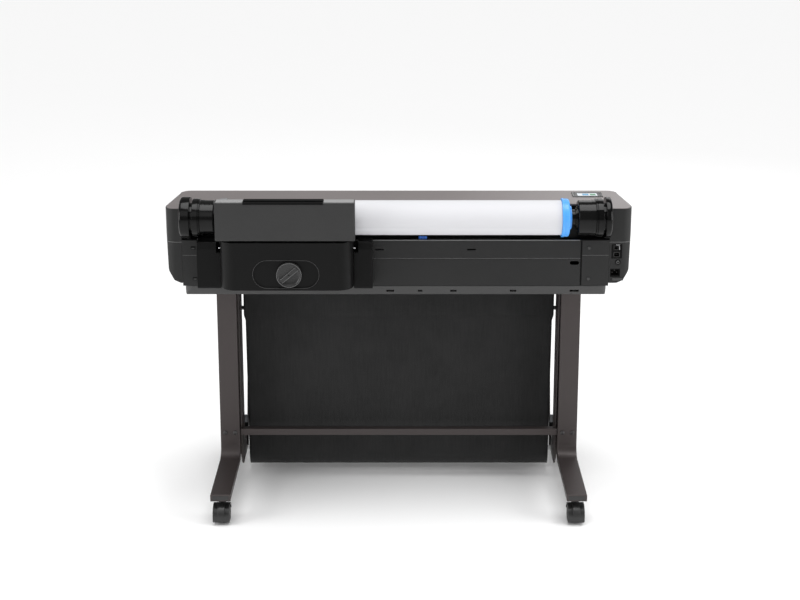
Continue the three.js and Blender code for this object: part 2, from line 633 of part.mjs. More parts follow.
function sheetFeeder() {
  const boxLeft = FEEDER_LEFT + 8;
  const boxRight = FEEDER_RIGHT - 6;
  const rear = FEEDER_REAR + 2;
  const top = FEEDER_SEAM - 5;
  const plan = outline([
    [boxLeft, rear, 44], [boxRight, rear, 44], [boxRight, FEEDER_FRONT], [boxLeft, FEEDER_FRONT],
  ], 6);
  const side = 4;
  const inside = outline([
    [boxLeft + side, rear + 9, 38], [boxRight - side, rear + 9, 38],
    [boxRight - side, FEEDER_FRONT - side], [boxLeft + side, FEEDER_FRONT - side],
  ], 6);
  const recess = outline(rectangle(KNOB.x - 101, KNOB.x + 83, KNOB.z - 40, KNOB.z + 40, 39), 6);
  const body = cut(
    alongZ(plan, FEEDER_BOTTOM, top),
    alongZ(inside, FEEDER_BOTTOM + 6, top + 1),
    alongY(recess, rear - 1, rear + 5),
    rod("y", 6 + GAP, rear, rear + 12, KNOB.x, KNOB.z, 16),
    rod("x", HUB_RADIUS + 3, boxLeft - 1, boxRight + 1, ROLL_Y, ROLL_Z, 32),
  );
  piece("asf_body", body, "casing");

  const grip = box(-KNOB.radius + 5, KNOB.radius - 5, -14, -8, -4.5, 4.5);
  const dial = join(rod("y", KNOB.radius, -8.5, 0, 0, 0, 36), grip, rod("y", 6, -1, 14, 0, 0, 16));
  const knob = geometryOf(dial).rotateY(THREE.MathUtils.degToRad(-40));
  piece("asf_knob", solid(knob.translate(KNOB.x, rear + 5 - GAP, KNOB.z)), "casing");

  const coverFront = FEEDER_REAR + FEEDER_COVER_DEPTH;
  const section = outline([
    [FEEDER_REAR, FEEDER_SEAM, 5], [coverFront, FEEDER_SEAM],
    [coverFront, FEEDER_TOP, 3], [FEEDER_REAR, FEEDER_TOP, 6],
  ], 3);
  const end = 16;
  const sheetSlot = box(
    FEEDER_LEFT + end, FEEDER_RIGHT - end, coverFront - 17, coverFront - 3, FEEDER_SEAM - 1, HEIGHT,
  );
  const left = KNOB.x - 124;
  const right = KNOB.x + 96;
  const cover = cut(
    alongX(section, FEEDER_LEFT, FEEDER_RIGHT),
    sheetSlot,
    box(left - GAP, right + GAP, FEEDER_REAR + 8, FEEDER_REAR + 16, FEEDER_SEAM + 6, HEIGHT),
  );
  piece("asf_cover", cover, "casing");
  piece("asf_extension", join(
    box(left, right, FEEDER_REAR + 8 + GAP, FEEDER_REAR + 16 - GAP, FEEDER_SEAM + 6 + GAP, FEEDER_TOP + 1),
    box(left, right, FEEDER_REAR + 3, FEEDER_REAR + 16 - GAP, FEEDER_TOP + GAP, HEIGHT),
  ), "gloss");

  piece("asf_pickup_roller", revolveX([
    [0, boxLeft + 5], [PICKUP.shaft, boxLeft + 5], [PICKUP.shaft, -380], [PICKUP.radius, -380],
    [PICKUP.radius, -230], [PICKUP.shaft, -230], [PICKUP.shaft, boxRight - 5], [0, boxRight - 5],
  ], PICKUP.y, PICKUP.z, 20), "rubber");

  const armRear = -206;
  const armSection = outline([
    [armRear, ARM_BOTTOM, 8], [REAR - GAP, ARM_BOTTOM], [REAR - GAP, ARM_TOP],
    [armRear + 8, ARM_TOP, 6], [armRear, ARM_TOP - 20, 4],
  ], 3);
  for (const [word, x0, x1] of [
    ["left", ARM_LEFT, boxLeft - GAP],
    ["right", boxRight + GAP, ARM_RIGHT],
  ]) {
    const step = word === "left" ? [x1 - 12, x1 + 1] : [x0 - 1, x0 + 12];
    const notch = box(...step, armRear - 10, REAR, ARM_TOP - 30, ARM_TOP + 10);
    piece(`asf_arm_${word}`, cut(alongX(armSection, x0, x1), notch), "black");
  }
}

// ---- stand ----------------------------------------------------------------------------------

function legs() {
  const front = LEG_REAR + LEG_DEPTH;
  const middle = LEG_REAR + LEG_DEPTH / 2;
  const reach = DEPTH / 2;
  const top = TRAY_BOTTOM - GAP;
  const profile = outline([
    [-reach, FOOT_BOTTOM, 2], [middle - 24, FOOT_BOTTOM, 20], [middle, FOOT_BOTTOM + 26],
    [middle + 24, FOOT_BOTTOM, 20], [reach, FOOT_BOTTOM, 2], [reach, FOOT_TOP, 2],
    [front, FOOT_TOP, FOOT_FILLET], [front, top],
    [LEG_REAR, top], [LEG_REAR, FOOT_TOP, FOOT_FILLET], [-reach, FOOT_TOP, 2],
  ], 7);
  for (const side of [-1, 1]) {
    const x = side * LEG_X;
    const groove = box(x - LEG_WIDTH, x + LEG_WIDTH, middle - 1, middle + 1, 60, top + 1);
    const half = LEG_WIDTH / 2;
    const web = box(x - half + 3, x + half - 3, middle - 2, middle + 2, FOOT_BOTTOM + 20, top);
    const body = alongX(profile, x - half, x + half).subtract(groove).add(web);
    piece(`stand_leg_${side > 0 ? "right" : "left"}`, body, "bronze");
  }
}

function crossbar() {
  const inner = LEG_X - LEG_WIDTH / 2 - GAP;
  const plate = 5;
  const low = CROSSBAR_Z - CROSSBAR_HEIGHT / 2;
  const bar = cut(
    box(-inner + 1, inner - 1, -8, 14, low, low + CROSSBAR_HEIGHT),
    box(-inner + plate, inner - plate, -5, 15, low - 1, low + CROSSBAR_HEIGHT - 2.5),
  );
  const edge = REAR_ROD.y + 8;
  const shape = outline([
    [4, TRAY_BOTTOM - 5, 4], [4, 84, 30], [34, 48, 20], [PIVOT.y + 24, PIVOT.z - 24, 23],
    [PIVOT.y + 24, PIVOT.z + 24, 23], [edge, PIVOT.z + 24, 30], [edge, TRAY_BOTTOM - 5, 4],
  ], 5);
  const ends = [-1, 1].map((side) => {
    const from = side > 0 ? inner - plate : -inner;
    return cut(
      alongX(shape, from, from + plate),
      rod("x", 6 + GAP, from - 1, from + plate + 1, PIVOT.y, PIVOT.z),
      rod("x", REAR_ROD.radius + GAP, from - 1, from + plate + 1, REAR_ROD.y, REAR_ROD.z, 16),
    );
  });
  piece("crossbar", join(bar, ...ends), "bronze");
}

function binFrame() {
  const inner = LEG_X - LEG_WIDTH / 2 - GAP;
  const plate = 5;
  piece("bin_rear_rod", rod(
    "x", REAR_ROD.radius, -inner + 1, inner - 1, REAR_ROD.y, REAR_ROD.z, 16,
  ), "bronze");

  const armOuter = inner - plate - GAP;
  const armInner = armOuter - 4;
  const dy = FRONT_ROD.y - PIVOT.y;
  const dz = FRONT_ROD.z - PIVOT.z;
  const length = Math.hypot(dy, dz);
  const turn = Math.atan2(dz, dy);
  const bar = outline(rectangle(-13, length + 12, -11, 11, 10), 5);
  for (const side of [-1, 1]) {
    const from = side > 0 ? armInner : -armOuter;
    const flat = geometryOf(alongX(bar, from, from + 4)).rotateX(turn).translate(0, PIVOT.y, PIVOT.z);
    const pinFrom = side > 0 ? armInner + 1 : -inner + 0.5;
    const pinTo = side > 0 ? inner - 0.5 : -armInner - 1;
    const arm = join(solid(flat), rod("x", 6, pinFrom, pinTo, PIVOT.y, PIVOT.z));
    piece(`bin_arm_${side > 0 ? "right" : "left"}`, arm, "bronze");
  }
  piece("bin_front_rod", rod(
    "x", BIN_ROD_RADIUS, -armInner + GAP, armInner - GAP, FRONT_ROD.y, FRONT_ROD.z, 16,
  ), "bronze");
}

/** A band of even thickness that follows a line of [y, z] points. */
function band(line, thickness) {
  const path = line.map(([y, z]) => new THREE.Vector2(y, z));
  const left = [];
  const right = [];
  path.forEach((point, i) => {
    const before = path[Math.max(i - 1, 0)];
    const after = path[Math.min(i + 1, path.length - 1)];
    const along = after.clone().sub(before).normalize();
    const across = new THREE.Vector2(-along.y, along.x).multiplyScalar(thickness / 2);
    left.push(point.clone().add(across));
    right.push(point.clone().sub(across));
  });
  return [...right, ...left.reverse()];
}

function binFabric() {
  const bendZ = FABRIC_FLOOR + FABRIC_BEND;
  const bendY = FABRIC_Y + FABRIC_BEND;
  const line = [[FABRIC_Y, FABRIC_TOP], [FABRIC_Y, 350]];
  const steps = 12;
  for (let i = 0; i <= steps; i += 1) {
    const angle = Math.PI + (Math.PI * i) / steps;
    line.push([bendY + FABRIC_BEND * Math.cos(angle), bendZ + FABRIC_BEND * Math.sin(angle)]);
  }
  const end = line[line.length - 1];
  piece("bin_fabric_rear", alongX(band(line, FABRIC), -FABRIC_HALF, FABRIC_HALF), "fabric");

  const sleeve = BIN_ROD_RADIUS + GAP + FABRIC;
  const start = [end[0], end[1] + 1];
  const panel = alongX(band([start, [FRONT_ROD.y - 2, FRONT_ROD.z - 6]], FABRIC), -FABRIC_HALF, FABRIC_HALF);
  const half = FABRIC_HALF;
  const around = rod("x", sleeve, -half, half, FRONT_ROD.y, FRONT_ROD.z, 20);
  const hole = rod("x", BIN_ROD_RADIUS + GAP, -half - 1, half + 1, FRONT_ROD.y, FRONT_ROD.z, 16);
  piece("bin_fabric_front", cut(join(panel, around), hole), "fabric");
}

function casters() {
  const radius = WHEEL_FLAT / Math.cos(Math.PI / WHEEL_SIDES);
  const inner = 6;
  const outer = 23;
  const tread = [
    [0, -outer], [radius - 6, -outer], [radius, -outer + 5], [radius, -inner - 3], [radius - 4, -inner],
    [4, -inner], [4, inner], [radius - 4, inner], [radius, inner + 3], [radius, outer - 5],
    [radius - 6, outer], [0, outer],
  ];
  for (const sideX of [-1, 1]) {
    for (const sideY of [-1, 1]) {
      const x = sideX * LEG_X;
      const y = sideY * CASTER_Y;
      const axle = { y: y + sideY * CASTER_TRAIL, z: WHEEL_FLAT };
      const word = `${sideY < 0 ? "rear" : "front"}_${sideX > 0 ? "right" : "left"}`;
      const wheel = geometryOf(revolveX(tread, axle.y, axle.z, WHEEL_SIDES)).translate(x, 0, 0);
      piece(`caster_wheel_${word}`, solid(wheel), "rubber");

      const ahead = sideY > 0 ? [axle.y - 60, axle.y] : [axle.y, axle.y + 60];
      const hood = cut(
        rod("x", radius + 7, x - outer - 1, x + outer + 1, axle.y, axle.z, 24),
        rod("x", radius + 2, x - outer - 2, x + outer + 2, axle.y, axle.z, 24),
        box(x - 40, x + 40, axle.y - 60, axle.y + 60, -20, 9),
        box(x - 40, x + 40, ...ahead, -20, WHEEL_FLAT + 6),
      );
      const web = cut(
        join(
          rod("x", radius - 5, x - inner + GAP, x + inner - GAP, axle.y, axle.z, 20),
          box(x - inner + GAP, x + inner - GAP, Math.min(y, axle.y) - 8, Math.max(y, axle.y) + 8, 30, 56),
        ),
        rod("x", 4 + GAP, x - inner, x + inner, axle.y, axle.z, 16),
      );
      const stem = rod("z", 11, 48, FOOT_BOTTOM - GAP, x, y, 20);
      const clear = cut(
        stem,
        rod("x", radius + 2, x + inner, x + 40, axle.y, axle.z),
        rod("x", radius + 2, x - 40, x - inner, axle.y, axle.z),
      );
      piece(`caster_fork_${word}`, join(hood, web, clear), "black");
    }
  }
}

endCaps();
topCover();
controlPanel();
rearPanels();
baseTray();
rollTrough();
frontCasing();
paperPath();
carriageDrive();
electronicsAndInk();
sockets();
rollAndSpindle();
sheetFeeder();
legs();
crossbar();
binFrame();
binFabric();
casters();

export default object;
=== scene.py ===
"""A large format roll plotter on its rolling stand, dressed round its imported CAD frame."""
import json
import logging
import math
import random
from collections.abc import Iterable, Sequence
from dataclasses import dataclass
from enum import Enum

import bmesh
import bpy
from mathutils import Matrix, Vector


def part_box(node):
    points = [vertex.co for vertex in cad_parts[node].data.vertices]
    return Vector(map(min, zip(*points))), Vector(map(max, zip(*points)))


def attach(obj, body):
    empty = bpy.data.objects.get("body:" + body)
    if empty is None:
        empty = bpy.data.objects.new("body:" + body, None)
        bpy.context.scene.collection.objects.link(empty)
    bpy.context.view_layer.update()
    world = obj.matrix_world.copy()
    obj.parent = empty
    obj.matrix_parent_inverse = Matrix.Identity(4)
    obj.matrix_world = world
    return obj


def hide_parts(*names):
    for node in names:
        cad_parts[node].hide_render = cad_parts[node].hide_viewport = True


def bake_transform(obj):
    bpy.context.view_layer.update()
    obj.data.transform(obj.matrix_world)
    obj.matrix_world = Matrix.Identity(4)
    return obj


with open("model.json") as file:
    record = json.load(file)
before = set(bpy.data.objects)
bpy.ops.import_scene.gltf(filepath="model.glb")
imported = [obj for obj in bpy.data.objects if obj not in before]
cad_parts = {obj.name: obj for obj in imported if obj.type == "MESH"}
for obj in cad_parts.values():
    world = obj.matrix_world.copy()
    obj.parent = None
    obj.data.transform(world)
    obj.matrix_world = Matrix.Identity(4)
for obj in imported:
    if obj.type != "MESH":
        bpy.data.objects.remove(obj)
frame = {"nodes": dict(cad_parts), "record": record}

logging.basicConfig(level=logging.INFO, format="%(message)s")
LOG = logging.getLogger("plotter")
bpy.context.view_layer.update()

Point2 = tuple[float, float]
Colour = tuple[float, float, float]


class Axis(Enum):
    """The row frame's axes: each value is the rotation that lays a local w along that axis."""

    X = ((0, 0, 1), (1, 0, 0), (0, 1, 0))
    Y = ((1, 0, 0), (0, 0, 1), (0, 1, 0))
    Z = ((1, 0, 0), (0, 1, 0), (0, 0, 1))


# ---- shader graphs ---------------------------------------------------------------------------

class Graph:
    """A thin helper that adds and links nodes in one tree."""

    def __init__(self, tree: bpy.types.NodeTree) -> None:
        """Keeps the tree."""
        self.tree = tree

    def node(self, kind: str, **settings: object) -> bpy.types.Node:
        """Adds a node.

        Args:
            kind: the node's type, without its ShaderNode prefix.
            settings: attributes, or input values given as in_NAME or in_INDEX.

        Returns:
            The new node.
        """
        made = self.tree.nodes.new(kind if kind.startswith("Node") else "ShaderNode" + kind)
        for key, value in settings.items():
            if key.startswith("in_"):
                name = key[3:]
                socket = made.inputs[int(name) if name.isdigit() else name.replace("_", " ")]
                socket.default_value = value
            else:
                setattr(made, key, value)
        return made

    def link(self, source: bpy.types.NodeSocket, target: bpy.types.NodeSocket) -> None:
        """Joins an output to an input."""
        self.tree.links.new(source, target)

    def maths(self, operation: str, first: object, second: object = None) -> bpy.types.NodeSocket:
        """Adds a maths node whose inputs are sockets or numbers, and returns its output."""
        made = self.node("Math", operation=operation)
        for index, value in enumerate((first, second)):
            if isinstance(value, bpy.types.NodeSocket):
                self.link(value, made.inputs[index])
            elif value is not None:
                made.inputs[index].default_value = value
        return made.outputs[0]

    def ramp(self, value: bpy.types.NodeSocket, low: float, high: float,
             out_low: float = 0.0, out_high: float = 1.0) -> bpy.types.NodeSocket:
        """Maps a value from one range to another, clamped."""
        made = self.node("MapRange", in_1=low, in_2=high, in_3=out_low, in_4=out_high)
        self.link(value, made.inputs[0])
        return made.outputs[0]

    def noise(self, vector: bpy.types.NodeSocket, scale: object, detail: float = 2.0,
              rough: float = 0.5) -> bpy.types.NodeSocket:
        """Adds a noise texture and returns its value."""
        made = self.node("TexNoise", in_Detail=detail, in_Roughness=rough)
        self.link(vector, made.inputs["Vector"])
        if isinstance(scale, bpy.types.NodeSocket):
            self.link(scale, made.inputs["Scale"])
        else:
            made.inputs["Scale"].default_value = scale
        return made.outputs["Fac"]

    def stretched(self, vector: bpy.types.NodeSocket,
                  scale: Sequence[float]) -> bpy.types.NodeSocket:
        """Scales a vector along each axis."""
        made = self.node("Mapping")
        made.inputs["Scale"].default_value = scale
        self.link(vector, made.inputs["Vector"])
        return made.outputs["Vector"]


class Effects:
    """Shader node groups that several finishes share, each built once."""

    _built: dict[str, bpy.types.NodeTree] = {}

    @classmethod
    def _group(cls, name: str, inputs: Iterable[tuple[str, str]],
               outputs: Iterable[tuple[str, str]]) -> tuple[Graph, bpy.types.Node, bpy.types.Node]:
        """Starts a group with named sockets and returns its graph, input node and output node."""
        tree = bpy.data.node_groups.new(name, "ShaderNodeTree")
        for label, kind in inputs:
            tree.interface.new_socket(label, in_out="INPUT", socket_type="NodeSocket" + kind)
        for label, kind in outputs:
            tree.interface.new_socket(label, in_out="OUTPUT", socket_type="NodeSocket" + kind)
        cls._built[name] = tree
        graph = Graph(tree)
        return graph, graph.node("NodeGroupInput"), graph.node("NodeGroupOutput")

    @classmethod
    def mottle(cls) -> bpy.types.NodeTree:
        """Slow changes of shade and gloss over a surface, with faint rubbed patches."""
        if "mottle" in cls._built:
            return cls._built["mottle"]
        graph, src, out = cls._group(
            "mottle",
            [("Vector", "Vector"), ("Color", "Color"), ("Amount", "Float"), ("Roughness", "Float"),
             ("Scale", "Float")],
            [("Color", "Color"), ("Roughness", "Float")],
        )
        broad = graph.noise(src.outputs["Vector"], src.outputs["Scale"], 4.0, 0.6)
        fine = graph.noise(graph.stretched(src.outputs["Vector"], (60.0, 60.0, 190.0)), 3.0, 3.0, 0.7)
        both = graph.maths("ADD", graph.ramp(broad, 0.3, 0.7, -0.5, 0.5),
                           graph.ramp(fine, 0.35, 0.75, -0.25, 0.25))
        shift = graph.maths("MULTIPLY", both, src.outputs["Amount"])
        value = graph.maths("ADD", shift, 1.0)
        tint = graph.node("HueSaturation")
        graph.link(value, tint.inputs["Value"])
        graph.link(src.outputs["Color"], tint.inputs["Color"])
        graph.link(tint.outputs["Color"], out.inputs["Color"])
        gloss = graph.maths("MULTIPLY", both, 0.12)
        graph.link(graph.maths("ADD", src.outputs["Roughness"], gloss), out.inputs["Roughness"])
        return cls._built["mottle"]

    @classmethod
    def grain(cls) -> bpy.types.NodeTree:
        """The fine pebbled texture of a spark-eroded mould."""
        if "grain" in cls._built:
            return cls._built["grain"]
        graph, src, out = cls._group("grain", [("Vector", "Vector"), ("Scale", "Float")],
                                     [("Height", "Float")])
        cells = graph.node("TexVoronoi", feature="SMOOTH_F1", in_Smoothness=0.6)
        graph.link(src.outputs["Vector"], cells.inputs["Vector"])
        graph.link(src.outputs["Scale"], cells.inputs["Scale"])
        speck = graph.noise(src.outputs["Vector"], graph.maths("MULTIPLY", src.outputs["Scale"], 0.6),
                            3.0, 0.6)
        graph.link(graph.maths("ADD", cells.outputs["Distance"], speck), out.inputs["Height"])
        return cls._built["grain"]

    @classmethod
    def brushed(cls) -> bpy.types.NodeTree:
        """Long fine lines, as on drawn or rolled metal."""
        if "brushed" in cls._built:
            return cls._built["brushed"]
        graph, src, out = cls._group("brushed", [("Vector", "Vector"), ("Scale", "Float")],
                                     [("Height", "Float")])
        line = graph.noise(graph.stretched(src.outputs["Vector"], (0.03, 1.0, 1.0)), src.outputs["Scale"],
                           2.0, 0.5)
        graph.link(line, out.inputs["Height"])
        return cls._built["brushed"]

    @classmethod
    def weave(cls) -> bpy.types.NodeTree:
        """A plain weave on a UV map in metres: raised threads both ways and their shade."""
        if "weave" in cls._built:
            return cls._built["weave"]
        graph, src, out = cls._group(
            "weave", [("Vector", "Vector"), ("Threads", "Float")],
            [("Height", "Float"), ("Shade", "Float")],
        )
        scaled = graph.node("VectorMath", operation="SCALE")
        graph.link(src.outputs["Vector"], scaled.inputs[0])
        graph.link(src.outputs["Threads"], scaled.inputs["Scale"])
        split = graph.node("SeparateXYZ")
        graph.link(scaled.outputs[0], split.inputs[0])
        warp = graph.maths("ABSOLUTE", graph.maths("SINE", split.outputs[0]))
        weft = graph.maths("ABSOLUTE", graph.maths("SINE", split.outputs[1]))
        over = graph.node("TexChecker", in_Scale=1.0 / math.pi)
        graph.link(scaled.outputs[0], over.inputs["Vector"])
        mixed = graph.node("Mix", data_type="FLOAT")
        graph.link(over.outputs["Fac"], mixed.inputs[0])
        graph.link(warp, mixed.inputs[2])
        graph.link(weft, mixed.inputs[3])
        graph.link(mixed.outputs[0], out.inputs["Height"])
        slub = graph.noise(graph.stretched(src.outputs["Vector"], (260.0, 14.0, 1.0)), 1.0, 3.0, 0.6)
        graph.link(graph.ramp(slub, 0.3, 0.7, 0.72, 1.3), out.inputs["Shade"])
        return cls._built["weave"]


@dataclass(frozen=True)
class Finish:
    """A material: moulded plastic unless a subclass says otherwise.

    Colours are linear RGB. Sizes of patterns are per metre, and depths are in metres.
    """

    name: str
    colour: Colour
    roughness: float = 0.5
    metallic: float = 0.0
    specular: float = 0.5
    coat: float = 0.0
    coat_roughness: float = 0.08
    variation: float = 0.12
    patch_scale: float = 5.0
    grain_scale: float = 1400.0
    grain_depth: float = 0.00004

    def material(self) -> bpy.types.Material:
        """The finished material, built the first time it is asked for."""
        found = bpy.data.materials.get(self.name)
        if found is not None:
            return found
        made = bpy.data.materials.new(self.name)
        made.use_nodes = True
        graph = Graph(made.node_tree)
        made.node_tree.nodes.clear()
        shader = graph.node("BsdfPrincipled")
        for label, value in (("Metallic", self.metallic), ("Specular IOR Level", self.specular),
                             ("Coat Weight", self.coat), ("Coat Roughness", self.coat_roughness)):
            shader.inputs[label].default_value = value
        output = graph.node("OutputMaterial")
        graph.link(shader.outputs[0], output.inputs[0])
        where = graph.node("TexCoord")
        self.paint(graph, shader, where)
        made.diffuse_color = (*self.colour, 1.0)
        return made

    def paint(self, graph: Graph, shader: bpy.types.Node, where: bpy.types.Node) -> None:
        """Feeds the shader's colour, roughness and normal."""
        self.feed_mottle(graph, shader, where.outputs["Object"])
        self.feed_bump(graph, shader, where.outputs["Object"], Effects.grain(), self.grain_scale)

    def feed_mottle(self, graph: Graph, shader: bpy.types.Node,
                    vector: bpy.types.NodeSocket) -> bpy.types.Node:
        """Adds the shared mottle group and links it to colour and roughness."""
        group = graph.node("Group")
        group.node_tree = Effects.mottle()
        graph.link(vector, group.inputs["Vector"])
        group.inputs["Color"].default_value = (*self.colour, 1.0)
        group.inputs["Amount"].default_value = self.variation
        group.inputs["Roughness"].default_value = self.roughness
        group.inputs["Scale"].default_value = self.patch_scale
        graph.link(group.outputs["Color"], shader.inputs["Base Color"])
        graph.link(group.outputs["Roughness"], shader.inputs["Roughness"])
        return group

    def feed_bump(self, graph: Graph, shader: bpy.types.Node, vector: bpy.types.NodeSocket,
                  tree: bpy.types.NodeTree, scale: float) -> None:
        """Adds a height group and a bump node in front of the shader's normal."""
        group = graph.node("Group")
        group.node_tree = tree
        graph.link(vector, group.inputs["Vector"])
        group.inputs["Scale"].default_value = scale
        bump = graph.node("Bump", in_Strength=0.6, in_Distance=self.grain_depth)
        graph.link(group.outputs["Height"], bump.inputs["Height"])
        graph.link(bump.outputs["Normal"], shader.inputs["Normal"])


@dataclass(frozen=True)
class Metal(Finish):
    """Drawn, rolled or plated metal with fine lines along X."""

    metallic: float = 1.0
    grain_scale: float = 900.0
    grain_depth: float = 0.00003

    def paint(self, graph: Graph, shader: bpy.types.Node, where: bpy.types.Node) -> None:
        """Feeds the shader's colour, roughness and normal."""
        self.feed_mottle(graph, shader, where.outputs["Object"])
        self.feed_bump(graph, shader, where.outputs["Object"], Effects.brushed(), self.grain_scale)


@dataclass(frozen=True)
class Cloth(Finish):
    """Woven cloth on a UV map in metres."""

    threads: float = 2600.0
    sheen: float = 0.10
    sheen_roughness: float = 0.5
    thread_depth: float = 0.0003

    def paint(self, graph: Graph, shader: bpy.types.Node, where: bpy.types.Node) -> None:
        """Feeds the shader's colour, roughness and normal."""
        shader.inputs["Sheen Weight"].default_value = self.sheen
        shader.inputs["Sheen Roughness"].default_value = self.sheen_roughness
        mottle = self.feed_mottle(graph, shader, where.outputs["Object"])
        group = graph.node("Group")
        group.node_tree = Effects.weave()
        graph.link(where.outputs["UV"], group.inputs["Vector"])
        group.inputs["Threads"].default_value = self.threads
        shaded = graph.node("HueSaturation")
        graph.link(mottle.outputs["Color"], shaded.inputs["Color"])
        graph.link(group.outputs["Shade"], shaded.inputs["Value"])
        graph.link(shaded.outputs["Color"], shader.inputs["Base Color"])
        bump = graph.node("Bump", in_Strength=0.7, in_Distance=self.thread_depth)
        graph.link(group.outputs["Height"], bump.inputs["Height"])
        graph.link(bump.outputs["Normal"], shader.inputs["Normal"])


@dataclass(frozen=True)
class Screen(Finish):
    """A lit display that glows evenly."""

    glow: float = 0.35

    def paint(self, graph: Graph, shader: bpy.types.Node, where: bpy.types.Node) -> None:
        """Feeds the shader's colour, roughness, normal and glow."""
        super().paint(graph, shader, where)
        group = graph.node("Group")
        group.node_tree = Effects.mottle()
        graph.link(where.outputs["Object"], group.inputs["Vector"])
        group.inputs["Color"].default_value = (*self.colour, 1.0)
        group.inputs["Amount"].default_value = 0.03
        group.inputs["Scale"].default_value = 40.0
        graph.link(group.outputs["Color"], shader.inputs["Emission Color"])
        shader.inputs["Emission Strength"].default_value = self.glow


def grey(level: float) -> Colour:
    """A neutral colour."""
    return (level, level, level)


class Finishes:
    """Every finish on the object, by the piece it is made for."""

    CASING = Finish("casing_grey", grey(0.025), 0.50, specular=0.17, variation=0.16,
                    grain_depth=0.00005)
    CAP = Finish("end_cap_grey", grey(0.021), 0.40, specular=0.20, variation=0.14, grain_depth=0.00004)
    TRAY = Finish("tray_grey", grey(0.062), 0.46, specular=0.22, variation=0.12)
    TAUPE = Finish("deck_taupe", (0.235, 0.211, 0.209), 0.42, metallic=0.25, variation=0.07,
                   patch_scale=2.5)
    FEEDER = Finish("feeder_grey", grey(0.036), 0.38, specular=0.22, variation=0.12, patch_scale=7.0)
    FEEDER_LOW = Finish("feeder_box_grey", grey(0.006), 0.34, specular=0.11, variation=0.16,
                        patch_scale=7.0)
    # painted highlight: light grey for the lit top face of the feeder cover
    FEEDER_TOP_HIGHLIGHT = Finish("feeder_top_painted_highlight", grey(0.36), 0.34, variation=0.06)
    BLACK = Finish("matt_black", grey(0.004), 0.6, specular=0.10, variation=0.2)
    ARM = Finish("arm_black", grey(0.006), 0.42, specular=0.10, variation=0.2)
    NECK = Finish("neck_black", grey(0.004), 0.18, specular=0.22, variation=0.15, grain_depth=0.000006)
    GLOSS = Finish("polished_black", grey(0.003), 0.13, specular=0.20, variation=0.1,
                   grain_depth=0.000004)
    DIAL = Finish("dial_grey", grey(0.024), 0.24, specular=0.35, variation=0.12, grain_depth=0.00001)
    WINDOW = Finish("smoked_window", (0.012, 0.013, 0.015), 0.07, coat=1.0, variation=0.1,
                    grain_depth=0.000003)
    BLUE = Finish("flange_blue", (0.085, 0.385, 0.930), 0.30, variation=0.06, grain_depth=0.00002)
    # painted shade: a darker blue for the finger in the trough lip's shade
    SHADED_BLUE = Finish("finger_blue_painted_shade", (0.012, 0.130, 0.560), 0.35, variation=0.06, grain_depth=0.00002)
    GREY = Finish("flange_grey", (0.22, 0.23, 0.24), 0.4, variation=0.06, grain_depth=0.00002)
    PAPER = Finish("coated_paper", (0.70, 0.70, 0.725), 0.62, specular=0.3, variation=0.015,
                   patch_scale=3.0, grain_scale=2600.0, grain_depth=0.00001)
    CARD = Finish("core_card", (0.36, 0.25, 0.15), 0.9, variation=0.25, patch_scale=60.0,
                  grain_depth=0.0001)
    BRONZE = Finish("bronze_powder_coat", (0.050, 0.041, 0.040), 0.44, metallic=0.35, variation=0.14,
                    grain_scale=900.0, grain_depth=0.00008)
    # painted highlight: lighter grey for the lit lip round the knob's recess
    LIP_HIGHLIGHT = Finish("recess_lip_painted_highlight", grey(0.04), 0.4, variation=0.08)
    STEEL = Metal("plated_steel", (0.56, 0.56, 0.57), 0.3)
    DARK_STEEL = Metal("dark_steel", (0.09, 0.088, 0.088), 0.42)
    BRASS = Metal("gold_contacts", (0.78, 0.55, 0.22), 0.25)
    RUBBER = Finish("rubber_black", grey(0.012), 0.8, variation=0.25, grain_depth=0.0001)
    TREAD = Finish("tread_grey", (0.030, 0.030, 0.031), 0.62, variation=0.2, grain_depth=0.00008)
    CASTER = Finish("caster_nylon", grey(0.02), 0.4, variation=0.15, grain_depth=0.00005)
    FABRIC = Cloth("bin_cloth", (0.0092, 0.0092, 0.0094), 0.85, variation=0.16, patch_scale=9.0)
    SCREEN = Screen("screen_white", (0.52, 0.56, 0.60), 0.2, grain_scale=6000.0, grain_depth=0.000002)
    TILE_BLUE = Screen("screen_blue", (0.03, 0.22, 0.40), 0.2, grain_scale=6000.0, grain_depth=0.000002)
    TILE_GREEN = Screen("screen_green", (0.01, 0.17, 0.06), 0.2, grain_scale=6000.0,
                        grain_depth=0.000002)
    # painted highlight: light grey for the lit top edge of the lower end caps
    SEAM_HIGHLIGHT = Finish("end_cap_edge_painted_highlight", grey(0.12), 0.45, variation=0.06)
    # light grey for printed marks, and also painted highlights on the back panels' edges and seams and on
    # the knob's bar edges and rim
    PRINT_AND_HIGHLIGHT = Finish("print_and_painted_highlight_grey", grey(0.17), 0.5, variation=0.05)
    INKS = (
        Finish("ink_cyan", (0.0, 0.32, 0.72), 0.4), Finish("ink_magenta", (0.62, 0.01, 0.22), 0.4),
        Finish("ink_yellow", (0.80, 0.60, 0.02), 0.4), Finish("ink_black", (0.02, 0.02, 0.02), 0.4),
    )


# ---- meshes ----------------------------------------------------------------------------------

def soften(part: bmesh.types.BMesh, offset: float, segments: int = 2, over: float = 32.0,
           clamp: bool = True) -> None:
    """Rounds the edges of a mesh that are sharper than an angle.

    Args:
        part: the mesh, closed.
        offset: the width of the rounding, in metres.
        segments: how many faces go across it.
        over: the least angle between two faces, in degrees.
        clamp: whether the width gives way where there is no room.
    """
    part.normal_update()
    limit = math.radians(over)
    edges = [edge for edge in part.edges
             if len(edge.link_faces) == 2 and edge.calc_face_angle(0.0) > limit]
    bmesh.ops.bevel(part, geom=edges, offset=offset, offset_type="OFFSET", segments=segments, profile=0.5,
                    affect="EDGES", clamp_overlap=clamp, material=-1, loop_slide=True)


